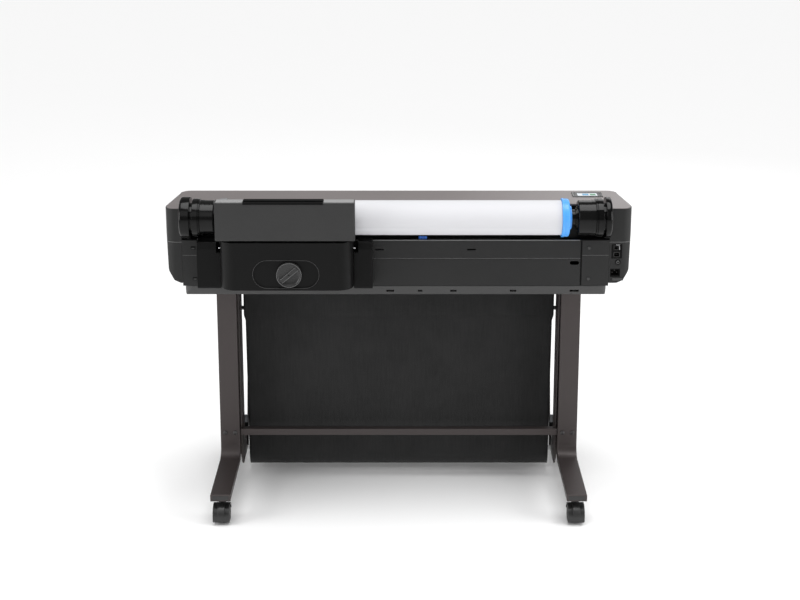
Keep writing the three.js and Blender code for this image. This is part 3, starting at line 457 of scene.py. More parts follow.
def rounded(low: Point2, high: Point2, radius: float, steps: int = 6) -> list[Point2]:
    """The outline of a rectangle with round corners, from its low and high corners."""
    corners = ((high[0], high[1], 0), (low[0], high[1], 1), (low[0], low[1], 2), (high[0], low[1], 3))
    points = []
    for u, v, quarter in corners:
        middle_u = u + (radius if quarter in (1, 2) else -radius)
        middle_v = v + (radius if quarter in (2, 3) else -radius)
        for step in range(steps + 1):
            angle = math.pi / 2 * (quarter + step / steps)
            points.append((middle_u + radius * math.cos(angle), middle_v + radius * math.sin(angle)))
    return points


def ring_outline(centre: Point2, radius: float, start: float, end: float, steps: int) -> list[Point2]:
    """Points on an arc, with its angles in degrees."""
    angles = [math.radians(start + (end - start) * step / steps) for step in range(steps + 1)]
    return [(centre[0] + radius * math.cos(angle),
             centre[1] + radius * math.sin(angle)) for angle in angles]


def sleeve(inner: float, outer: float, start: float, end: float) -> list[Point2]:
    """The closed profile of a plain ring."""
    return [(inner, start), (outer, start), (outer, end), (inner, end), (inner, start)]


def placed(axis: Axis, centre: Sequence[float] = (0.0, 0.0, 0.0)) -> Matrix:
    """Takes a local (u, v, w) to the row frame: w goes along the axis, u and v along the others."""
    return Matrix.Translation(centre) @ Matrix(axis.value).to_4x4()


BODY = {node: body for body, nodes in frame["record"]["behaviour"]["bodies"].items() for node in nodes}
SLOTS = {name: node.data.materials[0].name for name, node in frame["nodes"].items()}


class Shape:
    """A mesh under construction, made of parts from bmesh operators, in metres in the row frame."""

    def __init__(self) -> None:
        """Starts an empty mesh."""
        self.mesh = bmesh.new()
        self.index = 0

    def use(self, index: int) -> "Shape":
        """Gives the parts that follow the finish of that number."""
        self.index = index
        return self

    def join(self, part: bmesh.types.BMesh, place: Matrix | None = None) -> "Shape":
        """Adds a closed part, with its faces turned outwards, and frees it."""
        if place is not None:
            bmesh.ops.transform(part, matrix=place, verts=part.verts)
        bmesh.ops.recalc_face_normals(part, faces=part.faces)
        for face in part.faces:
            face.material_index = self.index
            face.smooth = True
        mesh = bpy.data.meshes.new("part")
        part.to_mesh(mesh)
        part.free()
        self.mesh.from_mesh(mesh)
        bpy.data.meshes.remove(mesh)
        return self

    def copy(self, node: str, edge: float = 0.0, segments: int = 2, clamp: bool = False) -> "Shape":
        """Adds a copy of a CAD node's mesh, merged and with its edges rounded."""
        part = bmesh.new()
        part.from_mesh(frame["nodes"][node].data)
        bmesh.ops.remove_doubles(part, verts=part.verts, dist=2e-6)
        bmesh.ops.dissolve_limit(part, angle_limit=math.radians(0.8), verts=part.verts, edges=part.edges)
        if edge:
            soften(part, edge, segments, clamp=clamp)
        return self.join(part)

    def block(self, low: Sequence[float], high: Sequence[float], edge: float = 0.001,
              segments: int = 2, turn: Matrix | None = None) -> "Shape":
        """Adds a box with round edges, turned about its own middle if a rotation is given."""
        part = bmesh.new()
        bmesh.ops.create_cube(part, size=1.0)
        low, high = Vector(low), Vector(high)
        bmesh.ops.scale(part, vec=high - low, verts=part.verts)
        if edge:
            soften(part, edge, segments)
        place = Matrix.Translation((low + high) / 2)
        return self.join(part, place @ turn if turn is not None else place)

    def turned(self, profile: Sequence[Point2], axis: Axis, centre: Sequence[float],
               sides: int = 48) -> "Shape":
        """Adds a body of revolution.

        Args:
            profile: (radius, place along the axis) points; a ring's profile ends where it starts.
            axis: the axis it is spun about.
            centre: the point on the axis that places are counted from.
            sides: how many steps the full turn has.

        Returns:
            This shape.
        """
        part = bmesh.new()
        line = [part.verts.new((radius, 0.0, along)) for radius, along in profile]
        edges = [part.edges.new(pair) for pair in zip(line, line[1:])]
        bmesh.ops.spin(part, geom=line + edges, cent=(0, 0, 0), axis=(0, 0, 1), angle=2 * math.pi,
                       steps=sides, use_merge=True, use_normal_flip=False, use_duplicate=False)
        bmesh.ops.remove_doubles(part, verts=part.verts, dist=1e-6)
        return self.join(part, placed(axis, centre))

    def rod(self, radius: float, start: float, end: float, axis: Axis, centre: Sequence[float],
            sides: int) -> "Shape":
        """Adds a plain cylinder between two places along an axis."""
        return self.turned(((0.0, start), (radius, start), (radius, end), (0.0, end)), axis, centre,
                           sides)

    def prism(self, outline: Sequence[Point2], axis: Axis, start: float, end: float,
              edge: float = 0.0008, segments: int = 2, place: Matrix | None = None) -> "Shape":
        """Adds an outline extruded along an axis, with round edges."""
        part = bmesh.new()
        face = part.faces.new([part.verts.new((u, v, start)) for u, v in outline])
        grown = bmesh.ops.extrude_face_region(part, geom=[face])
        moved = [item for item in grown["geom"] if isinstance(item, bmesh.types.BMVert)]
        bmesh.ops.translate(part, verts=moved, vec=(0, 0, end - start))
        if edge:
            soften(part, edge, segments)
        return self.join(part, place @ placed(axis) if place is not None else placed(axis))

    def tube(self, path: Sequence[Sequence[float]], radius: float, sides: int = 16) -> "Shape":
        """Adds a round bar or lead along a line of points, with closed ends."""
        part = bmesh.new()
        points = [Vector(point) for point in path]
        last = len(points) - 1
        before = None
        for index, point in enumerate(points):
            ahead = points[min(index + 1, last)] - points[max(index - 1, 0)]
            turn = ahead.to_track_quat("Z", "X").to_matrix().to_4x4()
            made = bmesh.ops.create_circle(part, segments=sides, radius=radius,
                                           cap_ends=index in (0, last),
                                           matrix=Matrix.Translation(point) @ turn)
            ring = list({edge for vert in made["verts"] for edge in vert.link_edges})
            if before is not None:
                bmesh.ops.bridge_loops(part, edges=before + ring)
            before = ring
        return self.join(part)

    def bolt(self, axis: Axis, centre: Sequence[float], radius: float, out: float) -> "Shape":
        """Adds a round screw head with a cross recess, standing out along an axis by a signed height."""
        rim = radius * 0.86
        self.turned(((0.0, out * 0.45), (radius * 0.30, out * 0.45), (radius * 0.34, out),
                     (rim, out * 0.92), (radius, out * 0.6), (radius, -out * 0.4), (0.0, -out * 0.4)),
                    axis, centre, 24)
        return self

    def piece(self, name: str, finishes: Sequence[Finish], body: str, slot: str,
              replaces: Sequence[str] = ()) -> bpy.types.Object:
        """Finishes the mesh as a piece of the object.

        Args:
            name: the piece's name.
            finishes: its finishes, in the order of their numbers.
            body: the CAD body that it rides on.
            slot: the record's material slot; not used.
            replaces: the CAD nodes that it stands for.

        Returns:
            The new object.
        """
        self.mesh.normal_update()
        for edge in self.mesh.edges:
            edge.smooth = len(edge.link_faces) == 2 and edge.calc_face_angle(0.0) < math.radians(48)
        mesh = bpy.data.meshes.new(name)
        self.mesh.to_mesh(mesh)
        self.mesh.free()
        for finish in finishes:
            mesh.materials.append(finish.material())
        made = bpy.data.objects.new(name, mesh)
        bpy.context.scene.collection.objects.link(made)
        weighted = made.modifiers.new("even_shading", "WEIGHTED_NORMAL")
        weighted.keep_sharp = True
        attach(made, body)
        if replaces:
            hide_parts(*replaces)
        LOG.info("%s rides on %s, %d faces", name, body, len(mesh.polygons))
        return made

    def stand_in(self, name: str, finishes: Sequence[Finish], node: str) -> bpy.types.Object:
        """Finishes the mesh as the piece that replaces a CAD node, on its body."""
        return self.piece(name, finishes, BODY[node], SLOTS[node], [node])


class Assembly:
    """What the sub-assemblies share: copies of CAD nodes, with round edges and a finish."""

    def rework(self, node: str, finish: Finish, edge: float, ending: str = "moulding",
               clamp: bool = False) -> bpy.types.Object:
        """Replaces a CAD node by a copy of it with round edges."""
        return Shape().copy(node, edge, clamp=clamp).stand_in(f"{node}_{ending}", [finish], node)


# ---- the printer's casing --------------------------------------------------------------------

@dataclass
class Casing(Assembly):
    """The end caps, top deck, back panels, base tray and front covers."""

    edge: float = 0.0012
    cap_edge: float = 0.0020
    fine_edge: float = 0.0006
    tray_lean: float = 20.3
    tray_joints: Point2 = (-0.5346, 0.5005)
    seam_x: float = 0.5170
    seam_bumps: int = 30
    seam_bump_radius: float = 0.0014
    screw_radius: float = 0.0042
    seam_height: float = 0.0014
    seam_reach: float = 0.0004
    side_seam: float = 0.7612
    screws: tuple[Point2, ...] = ((0.5385, 0.783), (0.5385, 0.692))
    latches: tuple[Point2, ...] = ((-0.5812, 0.783), (-0.5780, 0.6925))
    edge_highlight_height: float = 0.0016
    tray_holes: tuple[float, ...] = (-0.024, 0.061, 0.156, 0.326, 0.5)

    def build(self) -> None:
        """Builds every casing piece."""
        for side in ("left", "right"):
            for level in ("upper", "lower"):
                self.rework(f"end_cap_{side}_{level}", Finishes.CAP, self.cap_edge, clamp=True)
            self.rework(f"rear_side_panel_{side}", Finishes.CASING, self.fine_edge)
        for node, finish in (("top_cover", Finishes.TAUPE), ("rear_panel_upper", Finishes.CASING),
                             ("rear_panel_lower", Finishes.CASING), ("base_tray", Finishes.TRAY)):
            self.rework(node, finish, self.fine_edge)
        self.rework("front_fascia", Finishes.CASING, self.edge)
        self.rework("ink_door", Finishes.CAP, self.edge)
        self.seam_highlights()
        self.panel_details()
        self.tray_details()
        self.front_details()
        self.feet_pads()

    def seam_highlights(self) -> None:
        """A painted highlight where the two end caps meet: a light grey slice of the lower cap's own
        outline.
        """
        for side in ("left", "right"):
            node = f"end_cap_{side}_lower"
            low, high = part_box(node)
            part = bmesh.new()
            part.from_mesh(frame["nodes"][node].data)
            bmesh.ops.remove_doubles(part, verts=part.verts, dist=2e-6)
            bmesh.ops.bisect_plane(part, geom=part.verts[:] + part.edges[:] + part.faces[:],
                                   plane_co=(0.0, 0.0, high.z - self.seam_height), plane_no=(0.0, 0.0,
                                                                                             -1.0),
                                   clear_outer=True)
            rim = [edge for edge in part.edges if edge.is_boundary]
            bmesh.ops.triangle_fill(part, use_beauty=True, edges=rim)
            middle = (low + high) / 2
            grown = Vector((1.0 + 2 * self.seam_reach / (high.x - low.x),
                            1.0 + 2 * self.seam_reach / (high.y - low.y), 1.0))
            bmesh.ops.scale(part, vec=grown, space=Matrix.Translation(-middle), verts=part.verts)
            Shape().join(part).piece(f"cap_seam_highlight_{side}", [Finishes.SEAM_HIGHLIGHT], "frame", "casing")

    def panel_details(self) -> None:
        """The perforated seam, screws and latches of the back panels, with light grey strips painted as
        highlights along their top edge, side seams and bottom edge.
        """
        low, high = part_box("rear_panel_upper")
        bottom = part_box("rear_panel_lower")[0].z
        back = low.y
        seam = Shape().block((self.seam_x - 0.0022, back - 0.0004, bottom + 0.002),
                             (self.seam_x + 0.0022, back + 0.003, high.z - 0.002), 0.0004, 1)
        for number in range(self.seam_bumps):
            height = bottom + 0.004 + (high.z - bottom - 0.008) * number / (self.seam_bumps - 1)
            seam.turned(((0.0, -0.0016), (self.seam_bump_radius, -0.0008), (self.seam_bump_radius,
                                                                            0.0005), (0.0, 0.0005)),
                        Axis.Y, (self.seam_x, back, height), 8)
        seam.piece("perforated_seam", [Finishes.BLACK], "frame", "black_plastic")
        screws = Shape()
        for x, z in self.screws:
            screws.use(1).turned(((0.0, -0.0004), (0.0068, -0.0004), (0.0072, 0.001), (0.0, 0.001)),
                                 Axis.Y, (x, back, z), 32)
            screws.use(0).bolt(Axis.Y, (x, back - 0.0004, z), self.screw_radius, -0.0016)
        screws.piece("panel_screws", [Finishes.TRAY, Finishes.CAP], "frame", "steel")
        latches = Shape()
        for x, z in self.latches:
            latches.block((x - 0.0065, back - 0.0006, z - 0.0045), (x + 0.0065, back + 0.002,
                                                                    z + 0.0045), 0.0004)
            latches.use(1).block((x - 0.0045, back - 0.0016, z - 0.0028), (x + 0.0045, back, z + 0.001),
                                 0.0006)
            latches.use(0)
        latches.piece("side_latches", [Finishes.BLACK, Finishes.TRAY], "frame", "black_plastic")
        # painted highlights: light grey strips along the panels' top edge, side seams and bottom edge
        edge_highlights = Shape().block((low.x + 0.002, back - 0.0008, high.z - self.edge_highlight_height),
                              (high.x - 0.002, back + 0.004, high.z + 0.0006), 0.0004)
        for side in ("left", "right"):
            side_low, side_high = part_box(f"rear_side_panel_{side}")
            edge_highlights.block((side_low.x + 0.001, back - 0.0003, self.side_seam), (side_high.x - 0.001,
                                                                              back + 0.002,
                                                                              self.side_seam + 0.0008),
                        0.0002, 1)
        edge_highlights.block((low.x + 0.001, back - 0.0003, low.z - 0.0001), (high.x - 0.001, back + 0.002,
                                                                     low.z + 0.0008), 0.0002, 1)
        edge_highlights.piece("panel_edge_highlights", [Finishes.PRINT_AND_HIGHLIGHT], "frame", "casing")

    def tray_details(self) -> None:
        """Drain slots as black blocks that paint the shade inside them, and dark joint lines, in the
        sloped edge under the panels.
        """
        low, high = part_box("base_tray")
        # painted shade: black blocks stand for the shaded insides of the drain slots; the thin ones are
        # dark joint lines
        slot_shade_and_joints = Shape()
        slope = Matrix.Rotation(math.radians(self.tray_lean), 4, "X")
        for x in self.tray_holes:
            middle = Vector((x, low.y + 0.0070, low.z + 0.013))
            slot_shade_and_joints.block(middle - Vector((0.006, 0.0012, 0.0026)), middle + Vector((0.006, 0.0012,
                                                                                   0.0026)), 0.0008, 2,
                        slope)
        for x in self.tray_joints:
            middle = Vector((x, low.y + 0.0052, (low.z + high.z) / 2))
            slot_shade_and_joints.block(middle - Vector((0.0005, 0.0008, 0.012)), middle + Vector((0.0005, 0.0008,
                                                                                   0.012)), 0.0002, 1,
                        slope)
        slot_shade_and_joints.piece("tray_drain_slots", [Finishes.BLACK], "frame", "black_plastic")

    def front_details(self) -> None:
        """The finger grip on the ink door."""
        door_low, door_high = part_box("ink_door")
        grip = Shape().block((door_low.x + 0.022, door_high.y - 0.004, door_high.z - 0.024),
                             (door_high.x - 0.022, door_high.y - 0.0001, door_high.z - 0.012), 0.0014, 3)
        grip.piece("ink_door_grip", [Finishes.BLACK], "ink_door", "black_plastic")

    def feet_pads(self) -> None:
        """Soft pads under the tray where it sits on the stand."""
        pads = Shape()
        for side in ("left", "right"):
            low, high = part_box(f"stand_leg_{side}")
            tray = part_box("base_tray")[0].z
            middle = (low.x + high.x) / 2
            for y in (0.035, 0.075):
                pads.turned(((0.0, -0.0002), (0.008, -0.0002), (0.009, 0.0006), (0.009, 0.004),
                             (0.0, 0.004)), Axis.Z, (middle, y, tray), 24)
        pads.piece("tray_pads", [Finishes.RUBBER], "frame", "rubber")


@dataclass
class ControlPanel(Assembly):
    """The glossy bezel on the deck, with its lit screen."""

    lip: float = 0.0045
    glass: float = 0.0006
    display: Point2 = (0.057, 0.033)
    tiles: tuple[Point2, ...] = ((0.26, 0.57), (0.64, 0.93))

    def build(self) -> None:
        """Builds the bezel, the screen and the tiles on it."""
        self.rework("control_bezel", Finishes.GLOSS, 0.0005)
        low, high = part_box("touch_screen")
        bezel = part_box("control_bezel")[1].z
        Shape().prism(rounded((low.x, low.y), (high.x, high.y), 0.002), Axis.Z, low.z, high.z,
                      0.0003).stand_in("screen_glass", [Finishes.GLOSS], "touch_screen")
        top = min(high.z + self.glass, bezel - 0.0001)
        middle = (low + high) / 2
        half = Vector((self.display[0] / 2, self.display[1] / 2, 0.0))
        lit_low, lit_high = middle - half, middle + half
        panel = rounded((lit_low.x, lit_low.y), (lit_high.x, lit_high.y), 0.0015, 3)
        Shape().prism(panel, Axis.Z, high.z - 0.0004, top - 0.0001, 0.0).piece(
            "screen_display", [Finishes.SCREEN], "frame", "screen")
        tiles = Shape()
        for number, (start, end) in enumerate(self.tiles):
            near = (lit_low.x + self.display[0] * start, lit_low.y + self.display[1] * 0.16)
            far = (lit_low.x + self.display[0] * end, lit_low.y + self.display[1] * 0.74)
            tiles.use(number).prism(rounded(near, far, 0.0012, 3), Axis.Z, high.z - 0.0003, top, 0.0)
        tiles.use(2).block((lit_low.x + 0.003, lit_high.y - 0.0050, high.z - 0.0003),
                           (lit_high.x - 0.020, lit_high.y - 0.0028, top), 0.0)
        tiles.piece("screen_tiles", [Finishes.TILE_BLUE, Finishes.TILE_GREEN, Finishes.PRINT_AND_HIGHLIGHT], "frame",
                    "screen")


@dataclass
class Connections(Assembly):
    """The sockets, power button and mains inlet on the back of the right-hand end."""

    shell: float = 0.0007
    sockets: tuple[tuple[float, float, float, float], ...] = ((0.615, 0.783, 0.0122, 0.0112),
                                                              (0.617, 0.763, 0.0162, 0.0132))

    def build(self) -> None:
        """Builds the socket surrounds, contacts and button face."""
        self.rework("io_plate", Finishes.BLACK, 0.0004)
        self.rework("power_inlet", Finishes.BLACK, 0.0005)
        self.power_button()
        self.inlet_pins()
        self.socket_shells()

    def power_button(self) -> None:
        """A round key with a raised ring."""
        low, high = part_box("power_button")
        radius = (high.x - low.x) / 2
        middle = ((low.x + high.x) / 2, low.y, (low.z + high.z) / 2)
        deep = high.y - low.y
        key = Shape().turned(((0.0, 0.0006), (radius * 0.55, 0.0005), (radius * 0.82, 0.0),
                              (radius * 0.97, 0.0006), (radius, 0.0016), (radius, deep), (0.0, deep)),
                             Axis.Y, middle, 40)
        key.use(1).turned(sleeve(radius * 0.42, radius * 0.50, 0.0002, 0.0012), Axis.Y, middle, 32)
        key.block((middle[0] - 0.0004, middle[1] + 0.0001, middle[2] + radius * 0.15),
                  (middle[0] + 0.0004, middle[1] + 0.0012, middle[2] + radius * 0.62), 0.0)
        key.stand_in("power_key", [Finishes.GLOSS, Finishes.PRINT_AND_HIGHLIGHT], "power_button")

    def socket_shells(self) -> None:
        """The metal linings, tongues and marks of the two data sockets, and the ledge under the inlet,
        lighter grey as a painted highlight on its top.
        """
        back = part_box("io_plate")[0].y
        marks = Shape()
        for x, z, wide, high in self.sockets:
            for side in (-1, 1):
                marks.use(0).block((x + side * wide / 2 - self.shell, back + 0.0004, z - high / 2),
                                   (x + side * wide / 2 + self.shell, back + 0.009, z + high / 2),
                                   0.0002, 1)
                marks.block((x - wide / 2, back + 0.0004, z + side * high / 2 - self.shell),
                            (x + wide / 2, back + 0.009, z + side * high / 2 + self.shell), 0.0002, 1)
            marks.use(1).block((x - wide * 0.28, back + 0.003, z - high * 0.10),
                               (x + wide * 0.28, back + 0.009, z + high * 0.16), 0.0003, 1)
        x, z, wide, high = self.sockets[0]
        marks.use(2).block((x + wide / 2 + 0.0030, back - 0.0002, z - high / 2), (x + wide / 2 + 0.0042,
                                                                                  back + 0.001,
                                                                                  z + high / 2), 0.0)
        marks.block((x, back - 0.0002, z + high / 2 + 0.0022), (x + wide / 2 + 0.0042, back + 0.001,
                                                                z + high / 2 + 0.0034), 0.0)
        marks.piece("data_sockets", [Finishes.DARK_STEEL, Finishes.BLACK, Finishes.STEEL], "frame",
                    "steel")
        low, high_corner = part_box("power_inlet")
        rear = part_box("end_cap_right_lower")[0].y
        # painted highlight: a lighter grey block for the lit top of the ledge under the inlet
        ledge_highlight = Shape().block((low.x + 0.006, rear - 0.0022, low.z - 0.0110),
                              (high_corner.x + 0.010, rear + 0.003, low.z - 0.0040), 0.0012, 3)
        ledge_highlight.piece("inlet_ledge_highlight", [Finishes.TRAY], "frame", "casing")

    def inlet_pins(self) -> None:
        """Three flat blades in the mains inlet."""
        low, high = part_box("power_inlet")
        middle = (low + high) / 2
        pins = Shape()
        for x, z in ((-0.0065, -0.003), (0.0065, -0.003), (0.0, 0.004)):
            pins.block((middle.x + x - 0.001, high.y - 0.012, middle.z + z - 0.002),
                       (middle.x + x + 0.001, high.y - 0.002, middle.z + z + 0.002), 0.0002)
        pins.piece("inlet_blades", [Finishes.DARK_STEEL], "frame", "steel")


# ---- roll feed -------------------------------------------------------------------------------

@dataclass
class RollFeed(Assembly):
    """The media roll on its spindle, between two flanges, in the trough behind the deck."""

    sides: int = 96
    paper_layers: int = 14
    core_bore: float = 0.0262
    shaft_radius: float = 0.0238
    left_shares: tuple[float, float, float] = (0.28, 0.345, 0.56)
    right_shares: tuple[float, float, float] = (0.17, 0.235, 0.45)
    core_wall: float = 0.004

    def build(self) -> None:
        """Builds the trough, spindle, hubs, flanges and roll."""
        self.rework("roll_trough", Finishes.BLACK, 0.0006)
        low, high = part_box("paper_roll")
        self.radius = (high.z - low.z) / 2
        self.centre_y = (low.y + high.y) / 2
        self.centre_z = (low.z + high.z) / 2
        self.paper(low.x, high.x)
        self.flange("roll_flange_right", Finishes.BLUE, 1)
        self.flange("roll_flange_left", Finishes.GREY, -1)
        self.spindle()
        self.clip()

    def on_axis(self, x: float) -> tuple[float, float, float]:
        """A point on the spindle's axis."""
        return (x, self.centre_y, self.centre_z)

    def paper(self, left: float, right: float) -> None:
        """The wound paper: a smooth outside, layered ends, a loose outer edge and a card core."""
        inner = self.core_bore
        length = right - left
        card = inner + self.core_wall
        profile = [(card, 0.0)]
        step = (self.radius - card) / self.paper_layers
        for layer in range(self.paper_layers):
            profile.append((card + step * (layer + 0.5), 0.0005 if layer % 2 else 0.0002))
        profile += [(self.radius - 0.0003, 0.0), (self.radius, 0.0004), (self.radius, length - 0.0004),
                    (self.radius - 0.0003, length)]
        for layer in reversed(range(self.paper_layers)):
            profile.append((card + step * (layer + 0.5), length - (0.0005 if layer % 2 else 0.0002)))
        profile += [(card, length), (card, 0.0)]
        roll = Shape().turned(profile, Axis.X, self.on_axis(left), self.sides)
        roll.use(1).turned(sleeve(inner, card, -0.0001, length + 0.0001), Axis.X, self.on_axis(left), 64)
        roll.use(0).prism([(self.centre_y + u, self.centre_z + v) for u, v in
                           ring_outline((0, 0), self.radius + 0.0003, 200, 236, 14)
                           + ring_outline((0, 0), self.radius - 0.0002, 236, 200, 14)],
                          Axis.X, left + 0.0004, right - 0.0004, 0.0)
        roll.stand_in("paper_winding", [Finishes.PAPER, Finishes.CARD], "paper_roll")

    def flange(self, node: str, finish: Finish, outward: int) -> None:
        """A stepped end stop that grips the core, with ribs on its outer face."""
        low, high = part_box(node)
        face = low.x if outward > 0 else high.x
        radius = (high.z - low.z) / 2
        deep = (high.x - low.x) * outward
        inner = 0.0248
        step = radius - 0.0018
        profile = [(inner, 0.0), (radius - 0.0012, 0.0), (radius, 0.0010 * outward),
                   (radius, deep * 0.18), (radius - 0.0006, deep * 0.21), (step, deep * 0.23),
                   (step, deep * 0.62), (step - 0.0012, deep * 0.71), (step - 0.0040, deep * 0.76),
                   (radius * 0.62, deep * 0.77), (radius * 0.60, deep * 0.98), (radius * 0.58, deep),
                   (inner, deep), (inner, 0.0)]
        made = Shape().turned(profile, Axis.X, self.on_axis(face), 72)
        for number in range(18):
            turn = Matrix.Rotation(2 * math.pi * number / 18, 4, "X")
            middle = Vector(self.on_axis(face + deep * 0.44)) + turn @ Vector((0, step - 0.0006, 0))
            half = Vector((abs(deep) * 0.18, 0.0010, 0.0022))
            made.block(middle - half, middle + half, 0.0006, 1, turn)
        made.stand_in(f"{node}_ribbed", [finish], node)

    def spindle(self) -> None:
        """The shaft and the two glossy hubs, with rings and a dark groove."""
        low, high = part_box("spindle")
        left_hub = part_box("roll_flange_left")[0].x - 0.0003
        right_low, right_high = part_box("spindle_hub_right")
        finishes = [Finishes.GLOSS, Finishes.NECK, Finishes.GREY]
        shaft = self.shaft_radius
        bar = Shape().turned(((0.0, left_hub), (shaft - 0.001, left_hub), (shaft - 0.001, high.x - 0.001),
                              (shaft - 0.002, high.x), (0.0, high.x)), Axis.X, self.on_axis(0.0), 64)
        self.hub(bar, low.x, left_hub, *self.left_shares)
        bar.stand_in("spindle_left_hub", finishes, "spindle")
        knob = Shape()
        self.hub(knob, right_high.x, right_low.x, *self.right_shares)
        knob.stand_in("spindle_right_hub", finishes, "spindle_hub_right")

    def hub(self, shape: Shape, outer: float, inner: float, disc: float, groove: float,
            drum: float) -> None:
        """Adds one hub: an end disc, a deep groove, a drum, a long neck and a ringed collar.

        Args:
            shape: the mesh that it joins.
            outer: the X of its outer face.
            inner: the X where it meets the flange.
            disc: the share of its length where the end disc stops.
            groove: the share where the groove stops.
            drum: the share where the drum stops.
        """
        sign = 1 if inner > outer else -1
        long = abs(inner - outer)
        low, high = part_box("spindle_hub_right")
        radius = (high.z - low.z) / 2 - 0.0002
        bore = 0.0245 if outer > 0 else 0.001

        def at(share: float, shift: float = 0.0) -> float:
            """A place along the hub, from its outer end."""
            return sign * (long * share + shift)

        end = [(bore, at(0.03)), (radius * 0.55, at(0.03)), (radius * 0.60, 0.0), (radius * 0.86, 0.0),
               (radius * 0.93, at(0.0, 0.0012)), (radius * 0.975, at(0.0, 0.0035)),
               (radius, at(0.0, 0.0075)), (radius, at(disc, -0.002)), (radius * 0.985, at(disc)),
               (radius * 0.72, at(disc, 0.0004)), (bore, at(disc, 0.0004)), (bore, at(0.03))]
        shape.use(0).turned(end, Axis.X, self.on_axis(outer), 96)
        low_drum = radius * 0.915
        body = [(bore, at(disc, -0.001)), (radius * 0.70, at(disc, -0.001)), (radius * 0.70,
                                                                              at(groove)),
                (low_drum * 0.985, at(groove, 0.0006)), (low_drum, at(groove, 0.002)),
                (low_drum, at(drum, -0.006)), (low_drum * 0.975, at(drum, -0.0052)), (low_drum * 0.975,
                                                                                      at(drum, -0.004)),
                (low_drum, at(drum, -0.003)), (low_drum, at(drum, -0.0008)), (low_drum * 0.97,
                                                                              at(drum)), (radius * 0.85,
                                                                                          at(drum,
                                                                                             0.0006)),
                (bore, at(drum, 0.0006)), (bore, at(disc, -0.001))]
        shape.turned(body, Axis.X, self.on_axis(outer), 96)
        neck = [(bore, at(drum, -0.002)), (radius * 0.85, at(drum, -0.002)), (radius * 0.85,
                                                                              at(drum, 0.010)),
                (radius * 0.835, at(drum, 0.0108)), (radius * 0.835, at(0.94, -0.003)), (radius * 0.82,
                                                                                         at(0.94,
                                                                                            -0.001)),
                (radius * 0.78, at(0.94)), (bore, at(0.94)), (bore, at(drum, -0.002))]
        shape.use(1).turned(neck, Axis.X, self.on_axis(outer), 96)
        collar = [(bore, at(0.88)), (radius * 0.50, at(0.88)), (radius * 0.50, at(0.955)),
                  (radius * 0.56, at(0.96)), (radius * 0.56, at(0.975)), (radius * 0.47, at(0.98)),
                  (radius * 0.47, at(1.0)), (bore, at(1.0)), (bore, at(0.88))]
        shape.turned(collar, Axis.X, self.on_axis(outer), 64)
        shape.use(2)
        pin = [(0.0, at(0.0, 0.0002)), (0.0085, at(0.0, 0.0002)), (0.0095, at(0.0, 0.0012)),
               (0.0095, at(0.05)), (0.0, at(0.05))]
        shape.turned(pin, Axis.X, self.on_axis(outer), 32)
        shape.use(0)

    def clip(self) -> None:
        """The blue end-of-roll finger in the trough's lip, in a darker blue with the lip's shade painted
        in.
        """
        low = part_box("roll_trough")[0]
        back = low.y
        clip = Shape().block((0.0565, back + 0.004, 0.8060), (0.0805, back + 0.009, 0.8150), 0.0010, 2)
        for x in (0.0590, 0.0665, 0.0745):
            clip.block((x, back + 0.0025, 0.8070), (x + 0.0034, back + 0.006, 0.8165), 0.0007, 1)
        clip.piece("roll_end_finger", [Finishes.SHADED_BLUE], "frame", "blue_plastic")


# ---- sheet feeder ----------------------------------------------------------------------------

